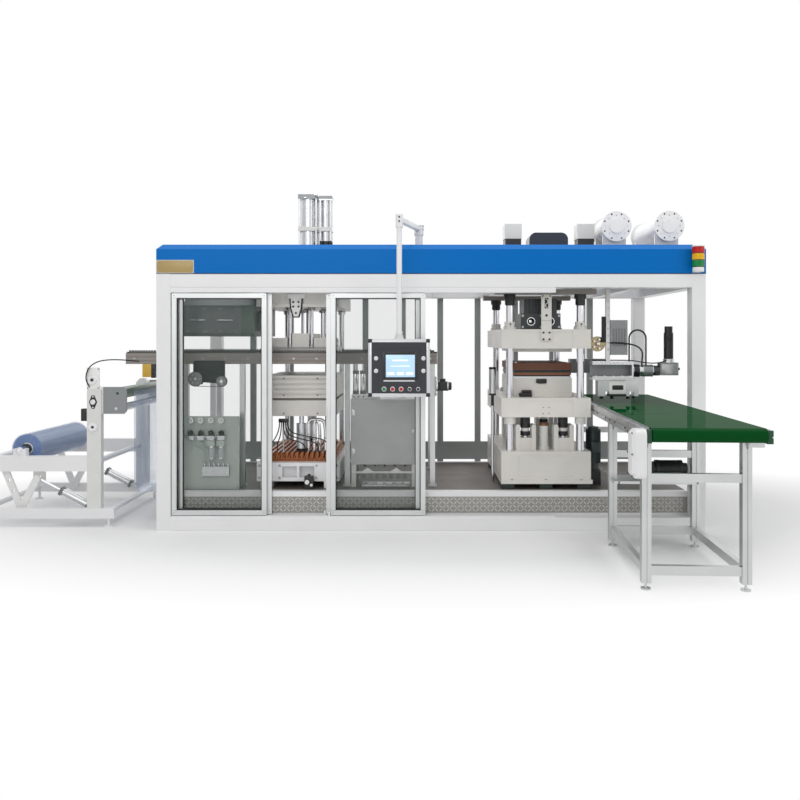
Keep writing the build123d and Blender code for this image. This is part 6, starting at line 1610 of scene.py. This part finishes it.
class MACHINE_OT_roof(bpy.types.Operator):
    """Bolts of the drum ends and fittings of the roof cylinders"""

    bl_idname = "machine.roof"
    bl_label = "Roof Unit"

    def execute(self, context):
        with Group("drum_bolts", ROOT, "black paint") as bm:
            for x, face in ((1.59, -0.7795), (2.035, -0.7995)):
                for dx, dz in circle(8, 0.11, math.pi / 8):
                    add_disc(bm, 0.007, (x + dx, face, 2.57 + dz), FRONT, 0.003, 16)
        with Group("roof_fittings", ROOT, "polished steel") as bm:
            for place, axis in (((-1.135, -0.255, 2.904), LEFT), ((-1.063, -0.255, 2.93), RIGHT)):
                add_rod(bm, 0.01, place, Vector(place) + Vector(axis) * 0.022, 6, 0.001)
        return {"FINISHED"}


class MACHINE_OT_lamp(bpy.types.Operator):
    """Three ribbed lenses, base and cap of the signal lamp"""

    bl_idname = "machine.lamp"
    bl_label = "Signal Lamp"

    def execute(self, context):
        low, high = box("signal_lamp")
        x, y = (low[0] + high[0]) / 2, low[1] + 0.052
        with Group("lamp_body", ROOT, "white paint", replaces=("signal_lamp",)) as bm:
            add_block(bm, (x - 0.03, y, low[2]), (x + 0.03, high[1], low[2] + 0.014), 0.002)
            foot_outline = ((0, 0), (0.044, 0), (0.046, 0.004), (0.046, 0.036), (0.043, 0.04), (0, 0.04))
            add_turned(bm, foot_outline, (x, y, low[2] + 0.002), UP, 40)
            cap_outline = ((0, 0), (0.05, 0), (0.05, 0.01), (0.042, 0.018), (0, 0.022))
            add_turned(bm, cap_outline, (x, y, high[2] - 0.022), UP, 40)
        bottom, top = low[2] + 0.042, high[2] - 0.022
        share = (top - bottom) / 3
        seals = steps(bottom, share, 3)
        ribs = 9
        pitch = (share - 0.008) / ribs
        outline = [(0, 0.004), (0.047, 0.004)]
        for height in steps(0.005, pitch, ribs):
            outline += [(0.0475, height), (0.0495, height + pitch * 0.3), (0.0495, height + pitch * 0.7)]
        outline += [(0.047, share - 0.002), (0, share - 0.002)]
        for foot, look in zip(seals, ("green", "yellow", "red")):
            with Group("lamp_" + look, ROOT, "lens " + look) as bm:
                add_turned(bm, outline, (x, y, foot), UP, 40)
        with Group("lamp_seals", ROOT, "black rubber") as bm:
            for foot in seals:
                add_disc(bm, 0.0465, (x, y, foot - 0.003), UP, 0.009, 36)
        return {"FINISHED"}


# Hoses of the unwind stand: name, points, length, diameter, lay
STAND_HOSES = (
    ("stand_lead", (
        (-2.905, -0.803, 1.195), (-2.925, -0.817, 1.225), (-2.935, -0.82, 1.295), (-2.905, -0.818, 1.37),
        (-2.84, -0.8, 1.415), (-2.76, -0.755, 1.428), (-2.68, -0.695, 1.425), (-2.62, -0.645, 1.418),
        (-2.56, -0.598, 1.41)), 0.611, 0.01, "hanging"),
)


class MACHINE_OT_stand(bpy.types.Operator):
    """Bearings, rail end, cylinder caps, plate and hose of the unwind stand"""

    bl_idname = "machine.stand"
    bl_label = "Unwind Stand"

    def execute(self, context):
        with Group("stand_bearing", ROOT, "black paint") as bm:
            outline = ((-0.036, 0), (-0.012, 0.058), (0.012, 0.058), (0.036, 0), (0.012, -0.058),
                       (-0.012, -0.058))
            add_plate(bm, [(-2.877 + dx, -0.8055, 1.068 + dz) for dx, dz in outline], (0, 0.0115, 0), 0.001)
            add_disc(bm, 0.012, (-2.885, -0.8075, 1.256), FRONT, 0.006, 24)
            add_block(bm, (-2.984, -0.8, 0.905), (-2.926, -0.75, 1.01), 0.004)
            add_disc(bm, 0.012, (-2.877, -0.8155, 0.855), FRONT, 0.006, 24)
        with Group("stand_bearing_rings", ROOT, "polished steel") as bm:
            add_ring(bm, 0.022, 0.012, (-2.877, -0.8045, 1.068), FRONT, 0.01, 32)
            add_disc(bm, 0.0125, (-2.877, -0.8045, 1.068), FRONT, 0.006, 28)
            for dz in (-0.045, 0.045):
                add_screw(bm, (-2.877, -0.8055, 1.068 + dz), FRONT, 0.006, 0.005)
            add_ring(bm, 0.04, 0.016, (-2.885, -0.8045, 1.256), FRONT, 0.007, 36)
            outline = ((0, 0), (0.04, 0), (0.04, 0.01), (0.034, 0.014), (0.012, 0.014))
            add_turned(bm, outline, (-2.877, -0.8045, 0.855), FRONT, 36)
        with Group("rail_end_block", ROOT, "yellow plastic") as bm:
            add_block(bm, (-2.53, -0.598, 1.27), (-2.438, -0.532, 1.3845), 0.004)
        with Group("rail_end_clamp", ROOT, "black paint") as bm:
            add_block(bm, (-2.452, -0.6005, 1.262), (-2.42, -0.53, 1.3845), 0.003)
            for z in steps(1.285, 0.034, 3):
                add_screw(bm, (-2.436, -0.6005, z), FRONT, 0.006, 0.004)
        axis = Vector((-0.883, 0, 0.469)).normalized()
        side = Vector((0.469, 0, 0.883)).normalized()
        with Group("lift_cylinder_caps", "lever_cylinders", "grey paint") as bm:
            for y, run in grid((-0.691, 0.321), (0.045, 0.305)):
                place = Vector((-2.91, y, 0.14)) + axis * run
                corners = [place + side * (0.034 * a) + Vector((0, 0.034 * b, 0))
                           for a, b in ((-1, -1), (1, -1), (1, 1), (-1, 1))]
                add_plate(bm, corners, axis * 0.028, 0.003)
        with Group("lift_cylinder_rods", "lever_cylinders", "polished steel") as bm:
            for y, a, b in grid((-0.691, 0.321), (-1, 1), (-1, 1)):
                start = Vector((-2.91, y, 0.14)) + side * (0.026 * a) + Vector((0, 0.026 * b, 0))
                add_rod(bm, 0.0045, start + axis * 0.06, start + axis * 0.318, 12)
        for name, points, length, diameter, lay in STAND_HOSES:
            hose(name, points, diameter)
        with Group("stand_plate", ROOT, "white paint") as bm:
            add_block(bm, (-2.932, -0.8055, 1.175), (-2.822, -0.7925, 1.362), 0.005)
        add_bolts("stand_bolts", ROOT, "brushed steel",
                  grid((-2.922, -2.832), -0.8055, (1.187, 1.35)), FRONT, 0.005, 0.005)
        return {"FINISHED"}


class MACHINE_OT_roll(bpy.types.Operator):
    """Film roll on its core and shaft"""

    bl_idname = "machine.roll"
    bl_label = "Film Roll"

    def execute(self, context):
        low, high = box("film_roll")
        x, z, outer = (low[0] + high[0]) / 2, (low[2] + high[2]) / 2, (high[0] - low[0]) / 2 - 0.0005
        front, back = -0.67, 0.3
        wound = outer - 0.01
        with Group("roll_winding", "roll", "film roll", replaces=("film_roll",)) as bm:
            add_turned(bm, ((0.046, 0), (wound, 0), (wound, back - front), (0.046, back - front), (0.046, 0)),
                       (x, front, z), BACK, 96)
        with Group("roll_layers", "roll", "film layers") as bm:
            layers = sizes().roll_layers
            for k in range(layers):
                radius = 0.056 + (wound - 0.06) * k / (layers - 1)
                add_ring(bm, radius + 0.0028, radius - 0.0028, (x, front + 0.001, z), FRONT, 0.0016, 72)
                add_ring(bm, radius + 0.0028, radius - 0.0028, (x, back - 0.001, z), BACK, 0.0016, 72)
        with Group("roll_outer", "roll", "film") as bm:
            inner, width = wound + 0.001, back - front
            outline = ((inner, 0.0), (outer, 0.0), (outer, width), (inner, width), (inner, 0.0))
            add_turned(bm, outline, (x, front, z), BACK, 96)
        with Group("roll_core", "roll", "white paint") as bm:
            outline = ((0.03, 0), (0.05, 0), (0.052, 0.003), (0.052, 0.03), (0.03, 0.03), (0.03, 0))
            for start, axis in ((front - 0.004, BACK), (back + 0.004, FRONT)):
                add_turned(bm, outline, (x, start, z), axis, 48)
        with Group("roll_shaft", "roll", "polished steel") as bm:
            length = high[1] - low[1]
            outline = ((0, 0), (0.014, 0), (0.016, 0.002), (0.016, 0.02), (0.0305, 0.022),
                       (0.0305, length - 0.022), (0.016, length - 0.02), (0.016, length), (0, length))
            add_turned(bm, outline, (x, low[1], z), BACK, 40)
        with Group("roll_chuck", "roll", "black paint") as bm:
            for start, axis in ((front - 0.03, BACK), (back + 0.03, FRONT)):
                add_ring(bm, 0.044, 0.0305, (x, start, z), axis, 0.028, 40)
                y = start + axis[1] * 0.014
                for (dx, dz), (far_x, far_z) in zip(circle(3, 0.04), circle(3, 0.05)):
                    add_rod(bm, 0.005, (x + dx, y, z + dz), (x + far_x, y, z + far_z), 10)
        return {"FINISHED"}


# The film web: its width and thickness, its edge towards the operator, its mesh columns and its ripples
FILM_WIDTH = 0.878
FILM_THICKNESS = 0.0008
FILM_EDGE = -0.529
FILM_COLUMNS = 28
FILM_RIPPLE = 0.0011


def film_track():
    """The film's path in x and z: down, round the loop, up, and in along the rails."""
    track = [(-2.626, 1.14 - 0.787 * k / 28) for k in range(28)]
    for angle in steps(0, math.pi / 20, 21):
        track.append((-2.513 - 0.113 * math.cos(angle), 0.353 - 0.113 * math.sin(angle)))
    track += [(-2.4, 0.353 + 1.067 * k / 34) for k in range(1, 35)]
    for angle in steps(math.pi / 10, math.pi / 10, 5):
        track.append((-2.37 - 0.03 * math.cos(angle), 1.42 + 0.03 * math.sin(angle)))
    track += [(-2.37 + 0.825 * k / 30, 1.45) for k in range(1, 31)]
    return track


class MACHINE_OT_web(bpy.types.Operator):
    """The film on its way from the rollers to the heater"""

    bl_idname = "machine.web"
    bl_label = "Film Web"

    def execute(self, context):
        track = film_track()
        runs = [0.0]
        for (x0, z0), (x1, z1) in zip(track, track[1:]):
            runs.append(runs[-1] + math.hypot(x1 - x0, z1 - z0))
        bm = bmesh.new()
        rows = []
        for k, (x, z) in enumerate(track):
            before, after = track[max(k - 1, 0)], track[min(k + 1, len(track) - 1)]
            dx, dz = after[0] - before[0], after[1] - before[1]
            size = math.hypot(dx, dz)
            free = 1.0 if 0.1 < runs[k] < runs[-1] - 0.9 else 0.15
            row = []
            for y in steps(FILM_EDGE, FILM_WIDTH / FILM_COLUMNS, FILM_COLUMNS + 1):
                ripple = math.sin(17 * y + 3.1 * runs[k]) + 0.5 * math.sin(39 * y - 5.0 * runs[k])
                pair = []
                for side in (-FILM_THICKNESS / 2, FILM_THICKNESS / 2):
                    push = FILM_RIPPLE * free * ripple + side
                    pair.append(bm.verts.new((x - dz / size * push, y, z + dx / size * push)))
                row.append(pair)
            rows.append(row)
        for first, second in zip(rows, rows[1:]):
            for a, b, c, d in zip(first, first[1:], second[1:], second):
                bm.faces.new((a[0], b[0], c[0], d[0]))
                bm.faces.new((a[1], d[1], c[1], b[1]))
        for first, second in zip(rows, rows[1:]):
            for j in (0, FILM_COLUMNS):
                bm.faces.new((first[j][0], second[j][0], second[j][1], first[j][1]))
        for row in (rows[0], rows[-1]):
            for a, b in zip(row, row[1:]):
                bm.faces.new((a[0], a[1], b[1], b[0]))
        bmesh.ops.recalc_face_normals(bm, faces=bm.faces[:])
        piece = finish_piece("film_sheet", bm, ROOT, "film", smooth=60.0, replaces=("film_web",))
        return {"FINISHED"}


OPERATORS = [
    MACHINE_OT_stage,
    MACHINE_OT_finishes,
    MACHINE_OT_cover,
    MACHINE_OT_frame,
    MACHINE_OT_doors,
    MACHINE_OT_heater,
    MACHINE_OT_rails,
    MACHINE_OT_forming,
    MACHINE_OT_air_panel,
    MACHINE_OT_cabinet,
    MACHINE_OT_panel,
    MACHINE_OT_arm,
    MACHINE_OT_puller,
    MACHINE_OT_press,
    MACHINE_OT_stacker,
    MACHINE_OT_belt,
    MACHINE_OT_pump,
    MACHINE_OT_roof,
    MACHINE_OT_lamp,
    MACHINE_OT_stand,
    MACHINE_OT_roll,
    MACHINE_OT_web,
]


class MACHINE_PT_parts(bpy.types.Panel):
    """The pieces of the machine, in the order they are made"""

    bl_label = "Blister Machine"
    bl_idname = "MACHINE_PT_parts"
    bl_space_type = "VIEW_3D"
    bl_region_type = "UI"
    bl_category = "Blister Machine"

    def draw(self, context):
        for operator in OPERATORS:
            self.layout.operator(operator.bl_idname)
        for name in MachineColours.__annotations__:
            self.layout.prop(context.scene.machine_colours, name)
        for name in MachineSizes.__annotations__:
            self.layout.prop(context.scene.machine_sizes, name)


CLASSES = [MachineColours, MachineSizes, *OPERATORS, MACHINE_PT_parts]


def register():
    """Add the classes and the panel's settings."""
    for cls in CLASSES:
        bpy.utils.register_class(cls)
    bpy.types.Scene.machine_colours = bpy.props.PointerProperty(type=MachineColours)
    bpy.types.Scene.machine_sizes = bpy.props.PointerProperty(type=MachineSizes)


def unregister():
    """Take the classes and the panel's settings out again."""
    del bpy.types.Scene.machine_sizes
    del bpy.types.Scene.machine_colours
    for cls in reversed(CLASSES):
        bpy.utils.unregister_class(cls)


def main():
    """Make the machine's looks."""
    register()
    for operator in OPERATORS:
        section, name = operator.bl_idname.split(".")
        getattr(getattr(bpy.ops, section), name)()


if __name__ == "__main__":
    main()
